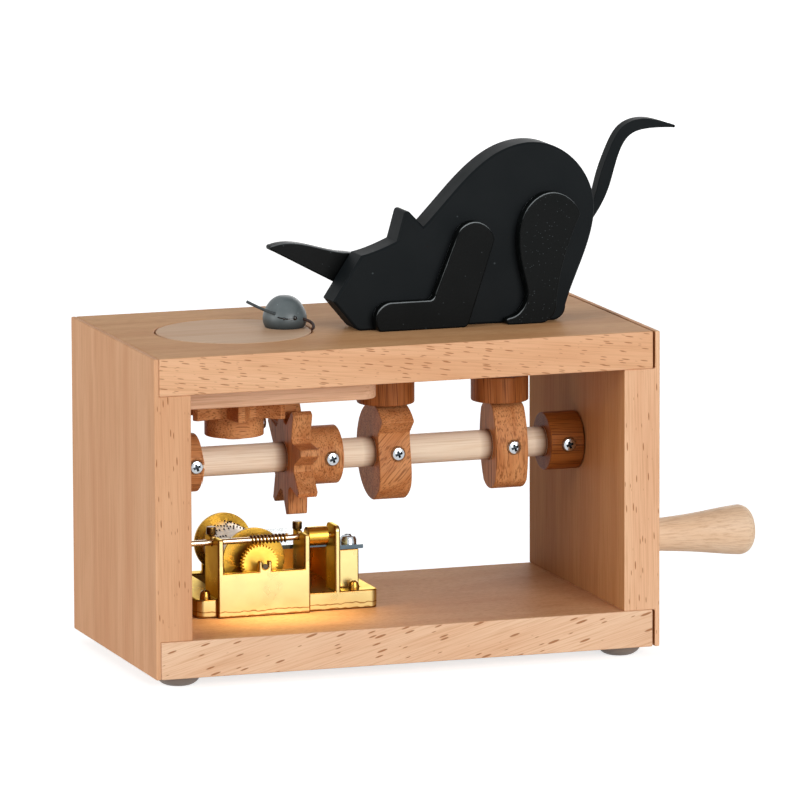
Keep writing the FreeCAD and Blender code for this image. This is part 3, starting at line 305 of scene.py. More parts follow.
# Sanded birch dowel: pale cream, close grain, browner beside the pieces glued to it, from painted contact shade and
# reflection of them and some of their oil crept in.
dowelLook = {**beechLook, "light": "#F6E5D0", "warm": "#EFDBC0", "dark": "#D3B48E", "streak": 0.5, "fleck": 0,
             "roughness": 0.5, "shadeAndStain": 0.95, "shadeAndStainColour": "#7A4A26", "shadeAndStainLength": 3.5}
shadeAndStainEnds = [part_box(name)[0][0] for name in ("drive_star", "paw_cam", "tail_cam", "right_collar")]
dowelWood = woodMaterial("sandedDowel", {**dowelLook, "shadeAndStainAt": shadeAndStainEnds})
dowelUpright = woodMaterial("sandedDowelUpright", {**dowelLook, "grainAngle": 90})
# The crank's turned grip and its arm: pale waxed beech, smooth and a little shiny.
gripWood = woodMaterial("turnedGrip", {**beechLook, "light": "#F7DBBE", "warm": "#EFCDAB", "dark": "#CDA27C",
                                       "streak": 0.55, "fleck": 0, "fineLength": 14, "roughness": 0.42})


def paintMaterial(name, look):
    # brushed paint: even colour, slight unevenness, a few dust specks, and a painted highlight where a rounded edge
    # faces up
    material, tree = emptyMaterial(name)
    coords = addNode(tree, "ShaderNodeTexCoord")
    cloud = addNode(tree, "ShaderNodeTexNoise", {"Scale": 1 / (look["patch"] * mm), "Detail": 3.0},
                    {"Vector": coords.outputs["Object"]})
    grit = addNode(tree, "ShaderNodeTexNoise", {"Scale": 1 / (look["grit"] * mm), "Detail": 2.0},
                   {"Vector": coords.outputs["Object"]})
    specks = addNode(tree, "ShaderNodeTexVoronoi", {"Scale": 1 / (look["speckGap"] * mm)},
                     {"Vector": coords.outputs["Object"]})
    dot = addNode(tree, "ShaderNodeMapRange",
                  {"From Min": look["speckSize"] * 0.6, "From Max": look["speckSize"], "To Min": 1.0, "To Max": 0.0},
                  {"Value": specks.outputs["Distance"]})
    base = addNode(tree, "ShaderNodeMix",
                   {"data_type": "RGBA", 6: hexColour(look["colour"]), 7: hexColour(look["shade"])},
                   {0: cloud.outputs["Fac"]})
    colour = base.outputs[2]
    if look.get("low"):
        # painted shade, darker towards the bottom
        bottom, top, paintedShadeColour = look["low"]
        place = addNode(tree, "ShaderNodeSeparateXYZ", links={"Vector": coords.outputs["Object"]})
        below = addNode(tree, "ShaderNodeMapRange", {"From Min": bottom * mm, "From Max": top * mm, "To Min": 1.0,
                                                     "To Max": 0.0}, {"Value": place.outputs[2]})
        lowered = addNode(tree, "ShaderNodeMix", {"data_type": "RGBA", 7: hexColour(paintedShadeColour)},
                          {0: below.outputs[0], 6: colour})
        colour = lowered.outputs[2]
    # painted highlight: rounded edges that face upwards turn lighter, broken up by the clouds
    edge = addNode(tree, "ShaderNodeAttribute", {"attribute_name": "eased"})
    towards = addNode(tree, "ShaderNodeVectorMath", {"operation": "DOT_PRODUCT", 1: look["edgeHighlightTowards"]},
                      {0: coords.outputs["Normal"]})
    uneven = addNode(tree, "ShaderNodeMath", {"operation": "MULTIPLY_ADD", 1: -look["edgeHighlightPatch"]},
                     {0: cloud.outputs["Fac"], 2: towards.outputs["Value"]})
    upper = addNode(tree, "ShaderNodeMapRange", {"From Min": 0.15, "From Max": 0.4, "To Max": look["edgeHighlight"]},
                    {"Value": uneven.outputs[0]})
    highlightShare = addNode(tree, "ShaderNodeMath", {"operation": "MULTIPLY"},
                     {0: edge.outputs["Fac"], 1: upper.outputs[0]})
    highlighted = addNode(tree, "ShaderNodeMix", {"data_type": "RGBA", 7: hexColour(look["edgeHighlightColour"])},
                   {0: highlightShare.outputs[0], 6: colour})
    dusted = addNode(tree, "ShaderNodeMix", {"data_type": "RGBA", 7: hexColour(look["speck"])},
                     {0: dot.outputs[0], 6: highlighted.outputs[2]})
    gloss = addNode(tree, "ShaderNodeMapRange", {"From Min": 0.3, "From Max": 0.7, "To Min": look["gloss"][0],
                                                 "To Max": look["gloss"][1]}, {"Value": cloud.outputs["Fac"]})
    bump = addNode(tree, "ShaderNodeBump", {"Strength": look["bump"], "Distance": 0.04 * mm},
                   {"Height": grit.outputs["Fac"]})
    shader = addNode(tree, "ShaderNodeBsdfPrincipled",
                     {"Specular IOR Level": look["specular"], "IOR": 1.5, "Coat Weight": look["coat"],
                      "Coat Roughness": 0.12},
                     {"Base Color": dusted.outputs[2], "Roughness": gloss.outputs[0], "Normal": bump.outputs[0]})
    closeMaterial(tree, shader)
    return material


def metalMaterial(name, look):
    # metal with slight waviness, so that its reflections wander, and darker where the mesh is marked
    material, tree = emptyMaterial(name)
    coords = addNode(tree, "ShaderNodeTexCoord")
    wave = addNode(tree, "ShaderNodeTexNoise", {"Scale": 1 / (look["wave"] * mm), "Detail": 2.0},
                   {"Vector": coords.outputs["Object"]})
    tone = addNode(tree, "ShaderNodeMix",
                   {"data_type": "RGBA", 6: hexColour(look["colour"]), 7: hexColour(look["shade"])},
                   {0: wave.outputs["Fac"]})
    colour = tone.outputs[2]
    for attribute, (share, markColour) in look.get("marks", {}).items():
        mark = addNode(tree, "ShaderNodeAttribute", {"attribute_name": attribute})
        marked = addNode(tree, "ShaderNodeMath", {"operation": "MULTIPLY", 1: share}, {0: mark.outputs["Fac"]})
        darker = addNode(tree, "ShaderNodeMix", {"data_type": "RGBA", 7: hexColour(markColour)},
                         {0: marked.outputs[0], 6: colour})
        colour = darker.outputs[2]
    if look.get("seamAndShadowLines"):
        # wavy dark lines round the casting: the upper one where its mould met, dark with trapped polish, the lower
        # one a painted contact shadow
        place = addNode(tree, "ShaderNodeSeparateXYZ", links={"Vector": coords.outputs["Object"]})
        wander = addNode(tree, "ShaderNodeTexNoise", {"Scale": 1 / (look["seamWave"] * mm), "Detail": 1.5},
                         {"Vector": coords.outputs["Object"]})
        lifted = addNode(tree, "ShaderNodeMath", {"operation": "MULTIPLY_ADD", 1: look["seamReach"] * mm},
                         {0: wander.outputs["Fac"], 2: place.outputs[2]})
        for height in look["seamAndShadowLines"]:
            away = addNode(tree, "ShaderNodeMath", {"operation": "SUBTRACT", 1: height * mm},
                           {0: lifted.outputs[0]})
            off = addNode(tree, "ShaderNodeMath", {"operation": "ABSOLUTE"}, {0: away.outputs[0]})
            line = addNode(tree, "ShaderNodeMapRange", {"From Min": 0.05 * mm, "From Max": look["seamWidth"] * mm,
                                                        "To Min": 0.9, "To Max": 0.0}, {"Value": off.outputs[0]})
            lined = addNode(tree, "ShaderNodeMix", {"data_type": "RGBA", 7: hexColour(look["seamAndShadowColour"])},
                            {0: line.outputs[0], 6: colour})
            colour = lined.outputs[2]
    dull = addNode(tree, "ShaderNodeMapRange", {"From Min": 0.3, "From Max": 0.7, "To Min": look["gloss"][0],
                                                "To Max": look["gloss"][1]}, {"Value": wave.outputs["Fac"]})
    bump = addNode(tree, "ShaderNodeBump", {"Strength": look["bump"], "Distance": 0.08 * mm},
                   {"Height": wave.outputs["Fac"]})
    shader = addNode(tree, "ShaderNodeBsdfPrincipled",
                     {"Metallic": 1.0, "Specular Tint": hexColour(look.get("edge", "#FFFFFF"))},
                     {"Base Color": colour, "Roughness": dull.outputs[0], "Normal": bump.outputs[0]})
    closeMaterial(tree, shader)
    return material


# Acrylic paint on wood, near black: the body is matt and smooth, the legs and levers have a harder gloss.
bodyLook = {"colour": "#0D1113", "shade": "#111517", "speck": "#3C4244", "patch": 9, "grit": 0.7, "speckGap": 6,
            "speckSize": 0.05, "edgeHighlight": 0, "edgeHighlightPatch": 0, "edgeHighlightColour": "#9AA0A2", "edgeHighlightTowards": (-0.1, 0, 1),
            "bump": 0.2, "gloss": (0.5, 0.6), "specular": 0.07, "coat": 0.0}
bodyPaint = paintMaterial("mattBlackPaint", bodyLook)
legLook = {**bodyLook, "colour": "#050606", "shade": "#080A0A", "speckGap": 2.2, "speckSize": 0.08, "edgeHighlight": 0.75,
           "edgeHighlightPatch": 0.5, "bump": 0.5, "gloss": (0.35, 0.5), "grit": 0.5, "specular": 0.05, "coat": 0.01}
legPaint = paintMaterial("glossyBlackPaint", legLook)
hindPaint = paintMaterial("dustyBlackPaint", {**legLook, "speckGap": 0.9, "speckSize": 0.16, "shade": "#0D1010"})
pawPaint = paintMaterial("wetBlackLeverPaint", {**legLook, "edgeHighlight": 0.35, "edgeHighlightPatch": 0.3, "specular": 0.06,
                                                 "coat": 0.02})
# Satin grey on the mouse, with a soft sheen, and wet black on its eyes.
greyPaint = paintMaterial("satinGreyPaint", {**bodyLook, "colour": "#535C5F", "shade": "#646D6F",
                                             "speck": "#8A9498", "patch": 2, "grit": 0.5, "speckGap": 3,
                                             "gloss": (0.35, 0.45), "specular": 0.35,
                                             "low": (88, 91.5, "#282F32")})
eyePaint = paintMaterial("wetBlackPaint", {**bodyLook, "colour": "#0C0A09", "shade": "#100D0C", "patch": 1,
                                           "gloss": (0.1, 0.15), "specular": 0.5})
# Zinc casting, plated in pale gold: mirror bright and slightly wavy, with a painted brown reflection in its rounded
# edges and on its left faces, and dark seam lines, the lower one a painted contact shadow.
goldCasting = metalMaterial("goldPlatedCasting",
                            {"colour": "#D8C78A", "shade": "#C6B278", "edge": "#F4DCA8", "wave": 5, "bump": 0.4,
                             "gloss": (0.26, 0.36),
                             "marks": {"shady": (0.92, "#B67E30"), "eased": (0.85, "#7A4A14")},
                             "seamAndShadowLines": (14.0, 15.2), "seamAndShadowColour": "#7A4A14", "seamWave": 2.2, "seamReach": 1.1,
                             "seamWidth": 0.22})
# Turned brass: deeper yellow than the casting, fine turning marks that spread the shine, and a painted dark
# reflection in its rounded edges.
brass = metalMaterial("turnedBrass", {"colour": "#D2A948", "shade": "#B98C30", "wave": 3, "bump": 0.3,
                                      "gloss": (0.22, 0.35), "marks": {"eased": (0.4, "#7A5418")}})
wheelBrass = metalMaterial("stampedBrass", {"colour": "#F0C860", "shade": "#E0AC40", "wave": 1.5, "bump": 0.3,
                                            "gloss": (0.3, 0.42)})
# Lacquered brass on the bed's screws, with painted shade inside the cross.
screwBrass = metalMaterial("lacqueredBrass", {"colour": "#B98E40", "shade": "#86602A", "wave": 1, "bump": 0.3,
                                             "gloss": (0.2, 0.3), "marks": {"recess": (0.9, "#2E1C08")}})
capBrass = metalMaterial("bronzedCap", {"colour": "#6E5028", "shade": "#3A2814", "wave": 1, "bump": 0.4,
                                        "gloss": (0.25, 0.35), "marks": {"eased": (0.7, "#B08A44")}})
threadBrass = metalMaterial("threadedBrass", {"colour": "#8E6630", "shade": "#6E4A1E", "wave": 1, "bump": 0.3,
                                              "gloss": (0.3, 0.4)})
# Nickelled drum: pale warm grey, soft shine, with dark steel pins.
drumNickel = metalMaterial("dullNickel", {"colour": "#CFC0B2", "shade": "#BDAE9F", "wave": 2, "bump": 0.2,
                                          "gloss": (0.35, 0.45)})
# Steel: the comb ground grey and darker at its front edge by painted shade, the axle and pins blued, the arbor
# polished.
combSteel = metalMaterial("groundSteel", {"colour": "#B2B6B6", "shade": "#9EA2A2", "wave": 2, "bump": 0.2,
                                          "gloss": (0.14, 0.24), "marks": {"shady": (0.9, "#4C5C66")}})
darkSteel = metalMaterial("bluedSteel", {"colour": "#54483C", "shade": "#3C342E", "wave": 1, "bump": 0.3,
                                         "gloss": (0.25, 0.4)})
arborSteel = metalMaterial("polishedSteel", {"colour": "#E2D6BE", "shade": "#CDBFA4", "wave": 3, "bump": 0.2,
                                             "gloss": (0.15, 0.28)})
# Bright nickel plate on the screws, black inside the cross with painted shade.
screwNickel = metalMaterial("nickelPlate", {"colour": "#C9CED2", "shade": "#A9B0B6", "wave": 1, "bump": 0.3,
                                            "gloss": (0.12, 0.25), "marks": {"recess": (0.95, "#22292D")}})
# Rubber: dusty grey brown feet with a soft sheen, and a duller black belt.
footRubber = paintMaterial("mouldedRubber", {**bodyLook, "colour": "#7C6F66", "shade": "#85786E",
                                             "speck": "#8E8278", "patch": 4, "grit": 0.4, "speckGap": 3,
                                             "gloss": (0.45, 0.6), "specular": 0.4})
beltRubber = paintMaterial("beltRubber", {**bodyLook, "colour": "#1C1B1A", "shade": "#232221",
                                          "speck": "#2A2928", "patch": 3, "grit": 0.3, "gloss": (0.55, 0.7),
                                          "specular": 0.3})
# Waxed cotton cord: dull, faintly fuzzy.
cordLook = {**bodyLook, "patch": 1, "grit": 0.25, "bump": 0.5, "gloss": (0.5, 0.7), "specular": 0.3}
greyCord = paintMaterial("waxedGreyCord", {**cordLook, "colour": "#484F52", "shade": "#363C3E",
                                           "speck": "#5C6468"})
brownCord = paintMaterial("waxedBrownCord", {**cordLook, "colour": "#2A1A14", "shade": "#3A2620",
                                             "speck": "#4A3630"})
print("stage: materials made")

pieceTable = [
    # node, body, material, slot, edge radius in mm
    ("base_board", "frame", beechBase, "beech", 0.35), ("top_board", "frame", beechTop, "beech", 0.35),
    ("left_wall", "frame", beechLeft, "beech", 0.35), ("right_wall", "frame", beechRight, "beech", 0.35),
    ("bearing_plate", "frame", plateWood, "brown_wood", 0.5),
    ("camshaft", "camshaft", dowelWood, "dowel", 0.4), ("left_collar", "camshaft", brownAcross, "brown_wood", 0.35),
    ("right_collar", "camshaft", shadedBrownAcross, "brown_wood", 0.35),
    ("drive_star", "camshaft", brownUpright, "brown_wood", 0.25),
    ("paw_cam", "camshaft", brownSlanted, "brown_wood", 0.4),
    ("tail_cam", "camshaft", brownUpright, "brown_wood", 0.4),
    ("camshaft_pulley", "camshaft", brownUpright, "brown_wood", 0.1),
    ("crank_arm", "camshaft", gripWood, "crank_wood", 0.6),
    ("crank_handle", "crank_grip", gripWood, "crank_wood", 0.5),
    ("turntable_disc", "turntable", discWood, "beech", 0.3),
    ("turntable_spindle", "turntable", dowelUpright, "dowel", 0.2),
    ("driven_star", "turntable", brownAcross, "brown_wood", 0.25),
    ("mouse_body", "turntable", greyPaint, "grey_wood", 0), ("mouse_tail", "turntable", greyCord, "grey_cord", 0),
    ("mouse_chin_cord", "turntable", brownCord, "brown_cord", 0),
    ("paw_follower_disc", "paw_follower", shadedBrownUpright, "brown_wood", 0.4),
    ("paw_follower_rod", "paw_follower", dowelUpright, "dowel", 0.2),
    ("tail_follower_disc", "tail_follower", shadedBrownUpright, "brown_wood", 0.4),
    ("tail_follower_rod", "tail_follower", dowelUpright, "dowel", 0.2),
    ("cat_body", "frame", bodyPaint, "black_wood", 0.3), ("cat_front_leg", "frame", legPaint, "black_wood", 0.45),
    ("cat_hind_leg", "frame", hindPaint, "black_wood", 0.45), ("cat_paw", "paw", pawPaint, "black_wood", 0.8),
    ("cat_tail", "tail", bodyPaint, "black_wood", 0.5),
    ("movement_bed", "frame", goldCasting, "gold_casting", 0.4), ("tone_comb", "frame", combSteel, "comb_steel", 0),
    ("arbor_caps", "frame", capBrass, "screw_steel", 0.3),
    ("drum_axle", "cylinder", darkSteel, "arbor_steel", 0), ("music_drum", "cylinder", drumNickel, "drum_metal", 0),
    ("front_rim", "cylinder", brass, "drum_metal", 0.15), ("rear_rim", "cylinder", brass, "drum_metal", 0.15),
    ("worm_wheel", "cylinder", wheelBrass, "wheel_plastic", 0),
    ("arbor_sleeve", "worm_arbor", brass, "drum_metal", 0.2),
    ("arbor_pulley", "worm_arbor", brass, "pulley_brass", 0.1),
    ("drive_belt", "frame", beltRubber, "belt_rubber", 0),
]
for foot in ("front_left", "front_right", "back_left", "back_right"):
    pieceTable.append(("foot_" + foot, "frame", footRubber, "foot_rubber", 0))
for node, body, material, slotName, ease in pieceTable:
    easedCopy(node, body, material, slotName, ease * mm)
print("stage: wood, paint and casting pieces made")


def looseParts(node):
    # the lowest and highest corner of each separate solid of a node
    bm = mergedCopy(node)
    parts = [boxCorners(group) for group in
             touching(bm.verts, lambda vert: {e.other_vert(vert) for e in vert.link_edges})]
    bm.free()
    return sorted(parts, key=lambda part: tuple(part[0]))


# The pan head's side and the cross in it, as shares of the head's radius and thickness.
headLook = {"profile": [(0, 1), (0.5, 0.98), (0.8, 0.84), (0.96, 0.5), (1, 0.2), (1, 0)], "steps": 32,
            "crossLength": 1.3, "crossWidth": 0.38, "crossDepth": 1.2,
            "floorLength": 0.55, "floorWidth": 0.75,    # the cross narrows towards its floor
            "darkHeight": 0.88, "darkReach": 0.66}    # faces within these are black with painted shade


def screwShape(look):
    # a pan head screw along Z, its head above zero, with a cross pressed into it
    radius, thick, shank, length = (look[part] * mm for part in ("head", "thick", "shank", "length"))
    bm = bmesh.new()
    side = [(radius * r, thick * h) for r, h in headLook["profile"]] + [(shank, 0), (shank, -length), (0, -length)]
    rim = [bm.verts.new((x, 0, z)) for x, z in side]
    edges = [bm.edges.new(pair) for pair in zip(rim, rim[1:])]
    bmesh.ops.spin(bm, geom=rim + edges, cent=(0, 0, 0), axis=(0, 0, 1), angle=math.tau,
                   steps=headLook["steps"], use_merge=True)
    bmesh.ops.remove_doubles(bm, verts=bm.verts, dist=1e-6)
    bmesh.ops.recalc_face_normals(bm, faces=bm.faces)
    whole = addObject("screw", meshFrom(bm, "screw"))
    spare = [whole]
    for quarter in (0, 1):
        bm = bmesh.new()
        bmesh.ops.create_cube(bm, size=1)
        bmesh.ops.scale(bm, vec=(radius * headLook["crossLength"], radius * headLook["crossWidth"],
                                 thick * headLook["crossDepth"]), verts=bm.verts)
        low = [v for v in bm.verts if v.co.z < 0]
        bmesh.ops.scale(bm, vec=(headLook["floorLength"], headLook["floorWidth"], 1), verts=low)
        bmesh.ops.rotate(bm, verts=bm.verts, cent=(0, 0, 0), matrix=Matrix.Rotation(
            math.radians(look["turn"] + 90 * quarter), 3, "Z"))
        bmesh.ops.translate(bm, verts=bm.verts, vec=(0, 0, thick))
        cutter = addObject("bar", meshFrom(bm, "bar"))
        pressed = whole.modifiers.new("cross", "BOOLEAN")
        pressed.object = cutter
        pressed.solver = "EXACT"
        spare.append(cutter)
    bpy.context.view_layer.update()
    shape = bpy.data.meshes.new_from_object(whole.evaluated_get(bpy.context.evaluated_depsgraph_get()))
    for thing in spare:
        bpy.data.objects.remove(thing)
    return shape


def screwSet(node, body, look):
    # one screw for each solid of the node, its head at the side that look["towards"] points to
    towards = Vector(look["towards"])
    shape = screwShape(look)
    turn = Vector((0, 0, 1)).rotation_difference(towards).to_matrix().to_4x4()
    radius, thick = look["head"] * mm, look["thick"] * mm
    bm = bmesh.new()
    recess = bm.faces.layers.float.new("recess")
    for low, high in looseParts(node):
        reach = Vector([abs(t) for t in towards]).dot(high - low) / 2
        seat = (low + high) / 2 + towards * (reach - thick)
        before = set(bm.faces)
        bm.from_mesh(shape)
        added = [f for f in bm.faces if f not in before]
        for face in added:
            centre = face.calc_center_median()
            if (0 < centre.z < thick * headLook["darkHeight"]
                    and Vector(centre.xy).length < radius * headLook["darkReach"]):
                face[recess] = 1.0
        verts = list({v for f in added for v in f.verts})
        bmesh.ops.transform(bm, matrix=Matrix.Translation(seat) @ turn, verts=verts)
    finishPiece(bm, node + "_crossed", body, look["metal"], "screw_steel", [node], 30)


woodScrew = {"metal": screwNickel, "head": 2.0, "thick": 1.4, "shank": 1.1, "length": 2.4, "turn": 20,
             "towards": (0, -1, 0)}
screwTable = [
    ("camshaft_screws", "camshaft", woodScrew),
    ("turntable_screw", "turntable", {**woodScrew, "towards": (1, 0, 0)}),
    ("bed_screws", "frame", {**woodScrew, "metal": screwBrass, "head": 1.45, "thick": 2.3, "length": 11,
                             "towards": (0, 0, 1)}),
    ("comb_screws", "frame", {**woodScrew, "head": 2.3, "thick": 2.3, "length": 5.1, "towards": (0, 0, 1)}),
    ("lever_pins", "frame", {**woodScrew, "thick": 1.0, "shank": 1.0, "length": 9.6, "towards": (0, 1, 0)}),
    ("crank_pin", "camshaft", {**woodScrew, "head": 2.5, "thick": 1.6, "shank": 1.5, "length": 34.1,
                               "towards": (1, 0, 0)}),
]
for node, body, look in screwTable:
    screwSet(node, body, look)
print("stage: screws made")

# the rib of the casting that runs from the comb's pedestal towards the drum's rear bearing, under the teeth
ribLook = {"reach": 8.5, "thick": 1.8, "fromBack": 5, "clear": 0.9, "ease": 0.3, "pedestalEdge": 1.4,
           "screwHead": 2.3}
combLow, combHigh = [Vector(corner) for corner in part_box("tone_comb")]
ribHigh = Vector((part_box("comb_screws")[0][0] - ribLook["pedestalEdge"] * mm,
                  combHigh.y - ribLook["fromBack"] * mm, combLow.z - ribLook["clear"] * mm))
ribLow = Vector((ribHigh.x - ribLook["reach"] * mm, ribHigh.y - ribLook["thick"] * mm,
                 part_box("bed_screws")[1][2] - ribLook["screwHead"] * mm))    # stands on the bed
bm = bmesh.new()
bmesh.ops.create_cube(bm, size=1)
for vert in bm.verts:
    vert.co = [ribLow[i] if vert.co[i] < 0 else ribHigh[i] for i in range(3)]
roundOver(bm, bm.edges[:], ribLook["ease"] * mm)
# painted shade: every face is marked shady, so that the rib fills the shade under the comb in the casting's dark
# brown
shady = bm.faces.layers.float.new("shady")
for face in bm.faces:
    face[shady] = 1.0
finishPiece(bm, "comb_rib", "frame", goldCasting, "gold_casting")

# the arbor's bar, and its worm as one real helix
wormLook = {"bar": 0.8, "sides": 24, "chamfer": 0.2, "endAngle": 60, "threadIn": 25.1, "turns": 11, "pitch": 1.0,
            "root": 0.6, "crest": 1.25, "steps": 16,
            "profile": [(0, "root"), (0.35, "crest"), (0.6, "crest"), (0.95, "root")]}
low, high = [Vector(corner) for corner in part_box("worm_arbor")]
middle = (low + high) / 2
layDown = Matrix.Rotation(math.radians(90), 4, "Y")
bm = bmesh.new()
bmesh.ops.create_cone(bm, cap_ends=True, segments=wormLook["sides"], radius1=wormLook["bar"] * mm,
                      radius2=wormLook["bar"] * mm, depth=high.x - low.x,
                      matrix=Matrix.Translation(middle) @ layDown)
ends = [e for e in bm.edges if e.calc_face_angle() > math.radians(wormLook["endAngle"])]
roundOver(bm, ends, wormLook["chamfer"] * mm, 2)
finishPiece(bm, "arbor_bar", "worm_arbor", arborSteel, "arbor_steel", ["worm_arbor"])
bm = bmesh.new()
start = low.x + wormLook["threadIn"] * mm
loop = [bm.verts.new((start + along * wormLook["pitch"] * mm, middle.y, middle.z + wormLook[height] * mm))
        for along, height in wormLook["profile"]]
loopEdges = [bm.edges.new(pair) for pair in zip(loop, loop[1:] + loop[:1])]
bm.faces.new(loop)
turns = wormLook["turns"]
swept = bmesh.ops.spin(bm, geom=loop + loopEdges, cent=middle, axis=(1, 0, 0), angle=math.tau * (turns - 1),
                       steps=wormLook["steps"] * (turns - 1),
                       dvec=(wormLook["pitch"] * mm / wormLook["steps"], 0, 0))
bmesh.ops.edgeloop_fill(bm, edges=[e for e in swept["geom_last"] if isinstance(e, bmesh.types.BMEdge)])
finishPiece(bm, "worm_thread", "worm_arbor", threadBrass, "arbor_steel", ["worm_arbor"])

# the drum's pins, in slanting runs as a tune would have them
pinLook = {"seed": 12, "rows": 18, "angles": 80, "runs": 34, "shortest": 3, "longest": 7, "steepest": 2,
           "radius": 0.24, "taper": 0.8, "height": 0.32, "root": 0.2, "margin": 0.8, "sides": 6}
low, high = [Vector(corner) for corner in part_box("music_drum")]
middle = (low + high) / 2
drumRadius = (high.z - low.z) / 2
tune = random.Random(pinLook["seed"])
margin = pinLook["margin"] * mm    # bare at both ends of the drum
rowGap = (high.y - low.y - 2 * margin) / pinLook["rows"]
taken = set()
for run in range(pinLook["runs"]):
    row, angle = tune.randrange(pinLook["rows"]), tune.randrange(pinLook["angles"])
    lean = tune.choice((-1, 1)) * tune.choice((1, pinLook["steepest"]))
    for note in range(tune.randint(pinLook["shortest"], pinLook["longest"])):
        if row + note < pinLook["rows"]:
            taken.add((row + note, (angle + lean * note) % pinLook["angles"]))
bm = bmesh.new()
radius, height, root = pinLook["radius"] * mm, pinLook["height"] * mm, pinLook["root"]    # root: share in the drum
out = Matrix.Translation((0, 0, drumRadius + height * (1 - root) / 2))
for row, angle in sorted(taken):
    turn = Matrix.Rotation(math.tau * angle / pinLook["angles"], 4, "Y")
    foot = Matrix.Translation((middle.x, low.y + margin + rowGap * (row + 0.5), middle.z))
    bmesh.ops.create_cone(bm, cap_ends=True, segments=pinLook["sides"], radius1=radius,
                          radius2=radius * pinLook["taper"], depth=height * (1 + root), matrix=foot @ turn @ out)
finishPiece(bm, "drum_pins", "cylinder", darkSteel, "arbor_steel")
print("stage: worm and drum pins made")

# the mouse's seam, a thin dark line from the tail's root to the right eye
seamLook = {"from": (-47.6, -6, 92.2), "to": (-41, -6, 91.0), "steps": 14, "radius": 0.2}
mouse = nodes["mouse_body"].data
skin = BVHTree.FromPolygons([v.co for v in mouse.vertices], [p.vertices for p in mouse.polygons])
route = []
for step in range(seamLook["steps"] + 1):
    share = step / seamLook["steps"]
    aim = Vector(seamLook["from"]).lerp(Vector(seamLook["to"]), share) * mm
    route.append(skin.find_nearest(aim)[0])
seam = bpy.data.curves.new("mouse_seam", "CURVE")
seam.dimensions = "3D"
seam.bevel_depth = seamLook["radius"] * mm
seam.bevel_resolution = 2
seam.use_fill_caps = True
spline = seam.splines.new("POLY")
spline.points.add(len(route) - 1)
for point, spot in zip(spline.points, route):
    point.co = (*spot, 1)
drawn = addObject("mouse_seam_route", seam)
bpy.context.view_layer.update()
bm = bmesh.new()
bm.from_mesh(drawn.to_mesh())
drawn.to_mesh_clear()
bpy.data.objects.remove(drawn)
finishPiece(bm, "mouse_seam", "turntable", eyePaint, "grey_wood")

# the mouse's eyes, two drops of paint
eyeTable = {"mouse_eye_left": ((-43.4, -3.2, 91.0), 0.4), "mouse_eye_right": ((-40.5, -3.4, 91.1), 0.65)}
for name, (at, radius) in eyeTable.items():
    bm = bmesh.new()
    bmesh.ops.create_uvsphere(bm, u_segments=16, v_segments=10, radius=radius * mm,
                              matrix=Matrix.Translation([c * mm for c in at]))
    finishPiece(bm, name, "turntable", eyePaint, "grey_wood")
print("stage: mouse seam and eyes made")

# floor and room: plain to the light on the part, and white to the camera and in reflections
studioLook = {"floorReach": 6, "floorGrey": 0.8, "floorGlow": 0.72, "roomLight": 0.15}
bm = bmesh.new()
bmesh.ops.create_grid(bm, x_segments=1, y_segments=1, size=studioLook["floorReach"])
floorMesh = meshFrom(bm, "floor")
addObject("floor", floorMesh)
paleFloor, floorTree = emptyMaterial("paleFloor")
floorMesh.materials.append(paleFloor)
world = bpy.data.worlds.new("studio")
bpy.context.scene.world = world
world.use_nodes = True
worldTree = world.node_tree
worldTree.nodes.clear()
seen = []    # 1 where the camera looks straight at it, in a shine or through glass
for tree in (floorTree, worldTree):
    path = addNode(tree, "ShaderNodeLightPath")
    direct = addNode(tree, "ShaderNodeMath", {"operation": "MAXIMUM"},
                     {0: path.outputs["Is Camera Ray"], 1: path.outputs["Is Glossy Ray"]})
    shown = addNode(tree, "ShaderNodeMath", {"operation": "MAXIMUM"},
                    {0: direct.outputs[0], 1: path.outputs["Is Transmission Ray"]})
    seen.append(shown.outputs[0])
matte = addNode(floorTree, "ShaderNodeBsdfDiffuse", {"Color": (*[studioLook["floorGrey"]] * 3, 1)})
level = addNode(floorTree, "ShaderNodeMath", {"operation": "MULTIPLY", 1: studioLook["floorGlow"]}, {0: seen[0]})
glow = addNode(floorTree, "ShaderNodeEmission", {"Color": (1, 1, 1, 1)}, {"Strength": level.outputs[0]})
closeMaterial(floorTree, addNode(floorTree, "ShaderNodeAddShader", links={0: matte.outputs[0], 1: glow.outputs[0]}))
room = addNode(worldTree, "ShaderNodeBackground", {"Color": (1, 1, 1, 1), "Strength": studioLook["roomLight"]})
whiteRoom = addNode(worldTree, "ShaderNodeBackground", {"Color": (1, 1, 1, 1), "Strength": 1.0})
mixed = addNode(worldTree, "ShaderNodeMixShader", links={0: seen[1], 1: room.outputs[0], 2: whiteRoom.outputs[0]})
addNode(worldTree, "ShaderNodeOutputWorld", links={"Surface": mixed.outputs[0]})

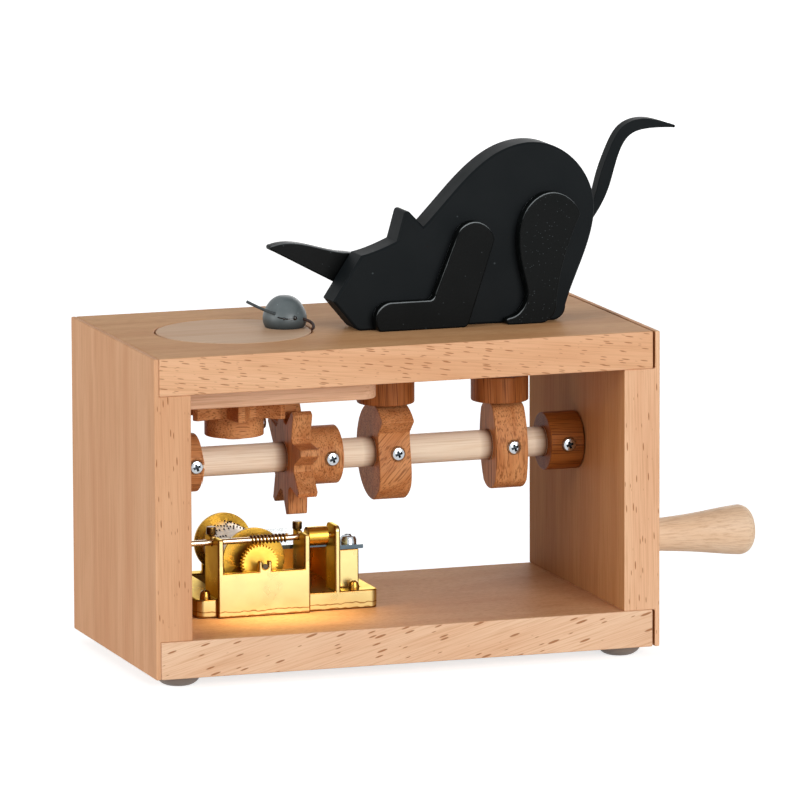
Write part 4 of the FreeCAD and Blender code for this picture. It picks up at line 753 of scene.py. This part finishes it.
# the light that the polished casting throws on the board, in mm from the middle of the bed's front edge
glowLook = {"left": 3, "before": 5, "above": 14, "across": 34, "deep": 3}
bedLow, bedHigh = [Vector(corner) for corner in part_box("movement_bed")]
beforeBed = Vector(((bedLow.x + bedHigh.x) / 2 - glowLook["left"] * mm, bedLow.y - glowLook["before"] * mm, bedLow.z))
aboveBase = beforeBed + Vector((0, 0, glowLook["above"] * mm))
partMiddle = (0, 0, 0.06)
lampTable = {
    # name: place, target, width, depth, power, colour
    "frontLamp": ((0.45, -1.95, 0.52), partMiddle, 1.0, 1.0, 28, "#FFFFFF"),
    "leftLamp": ((-1.85, -0.4, 0.5), partMiddle, 1.0, 1.0, 17.5, "#FFFFFF"),
    "topLamp": ((-0.4, 0.1, 1.6), partMiddle, 1.0, 1.0, 3, "#FFFFFF"),
    "backLamp": ((1.0, 1.5, 0.7), partMiddle, 1.2, 1.2, 8, "#FFFFFF"),
    "castingGlow": (aboveBase, beforeBed, glowLook["across"] * mm, glowLook["deep"] * mm, 0.007, "#FFE2A4"),
}
for name, (place, target, across, deep, power, colour) in lampTable.items():
    lamp = bpy.data.lights.new(name, "AREA")
    lamp.shape = "RECTANGLE"
    lamp.size = across
    lamp.size_y = deep
    lamp.energy = power
    lamp.color = hexColour(colour)[:3]
    holder = addObject(name, lamp)
    holder.location = place
    holder.rotation_euler = (Vector(target) - Vector(place)).to_track_quat("-Z", "Y").to_euler()

cameraSettings = {"place": (-0.738789, -2.17011, 0.45154), "yaw": 18.5764, "pitch": -9.5531, "roll": -0.1919,
                  "lens": 389.47, "sensor": 36, "farthest": 30}
camera = bpy.data.cameras.new("camera")
camera.lens = cameraSettings["lens"]
camera.sensor_width = cameraSettings["sensor"]
camera.clip_end = cameraSettings["farthest"]
stand = addObject("camera", camera)
aim = (Matrix.Rotation(math.radians(-cameraSettings["yaw"]), 4, "Z")
       @ Matrix.Rotation(math.radians(90 + cameraSettings["pitch"]), 4, "X")
       @ Matrix.Rotation(math.radians(cameraSettings["roll"]), 4, "Z"))
stand.matrix_world = Matrix.Translation(cameraSettings["place"]) @ aim
bpy.context.scene.camera = stand
bpy.context.scene.view_settings.view_transform = "Standard"
print("stage: studio set")
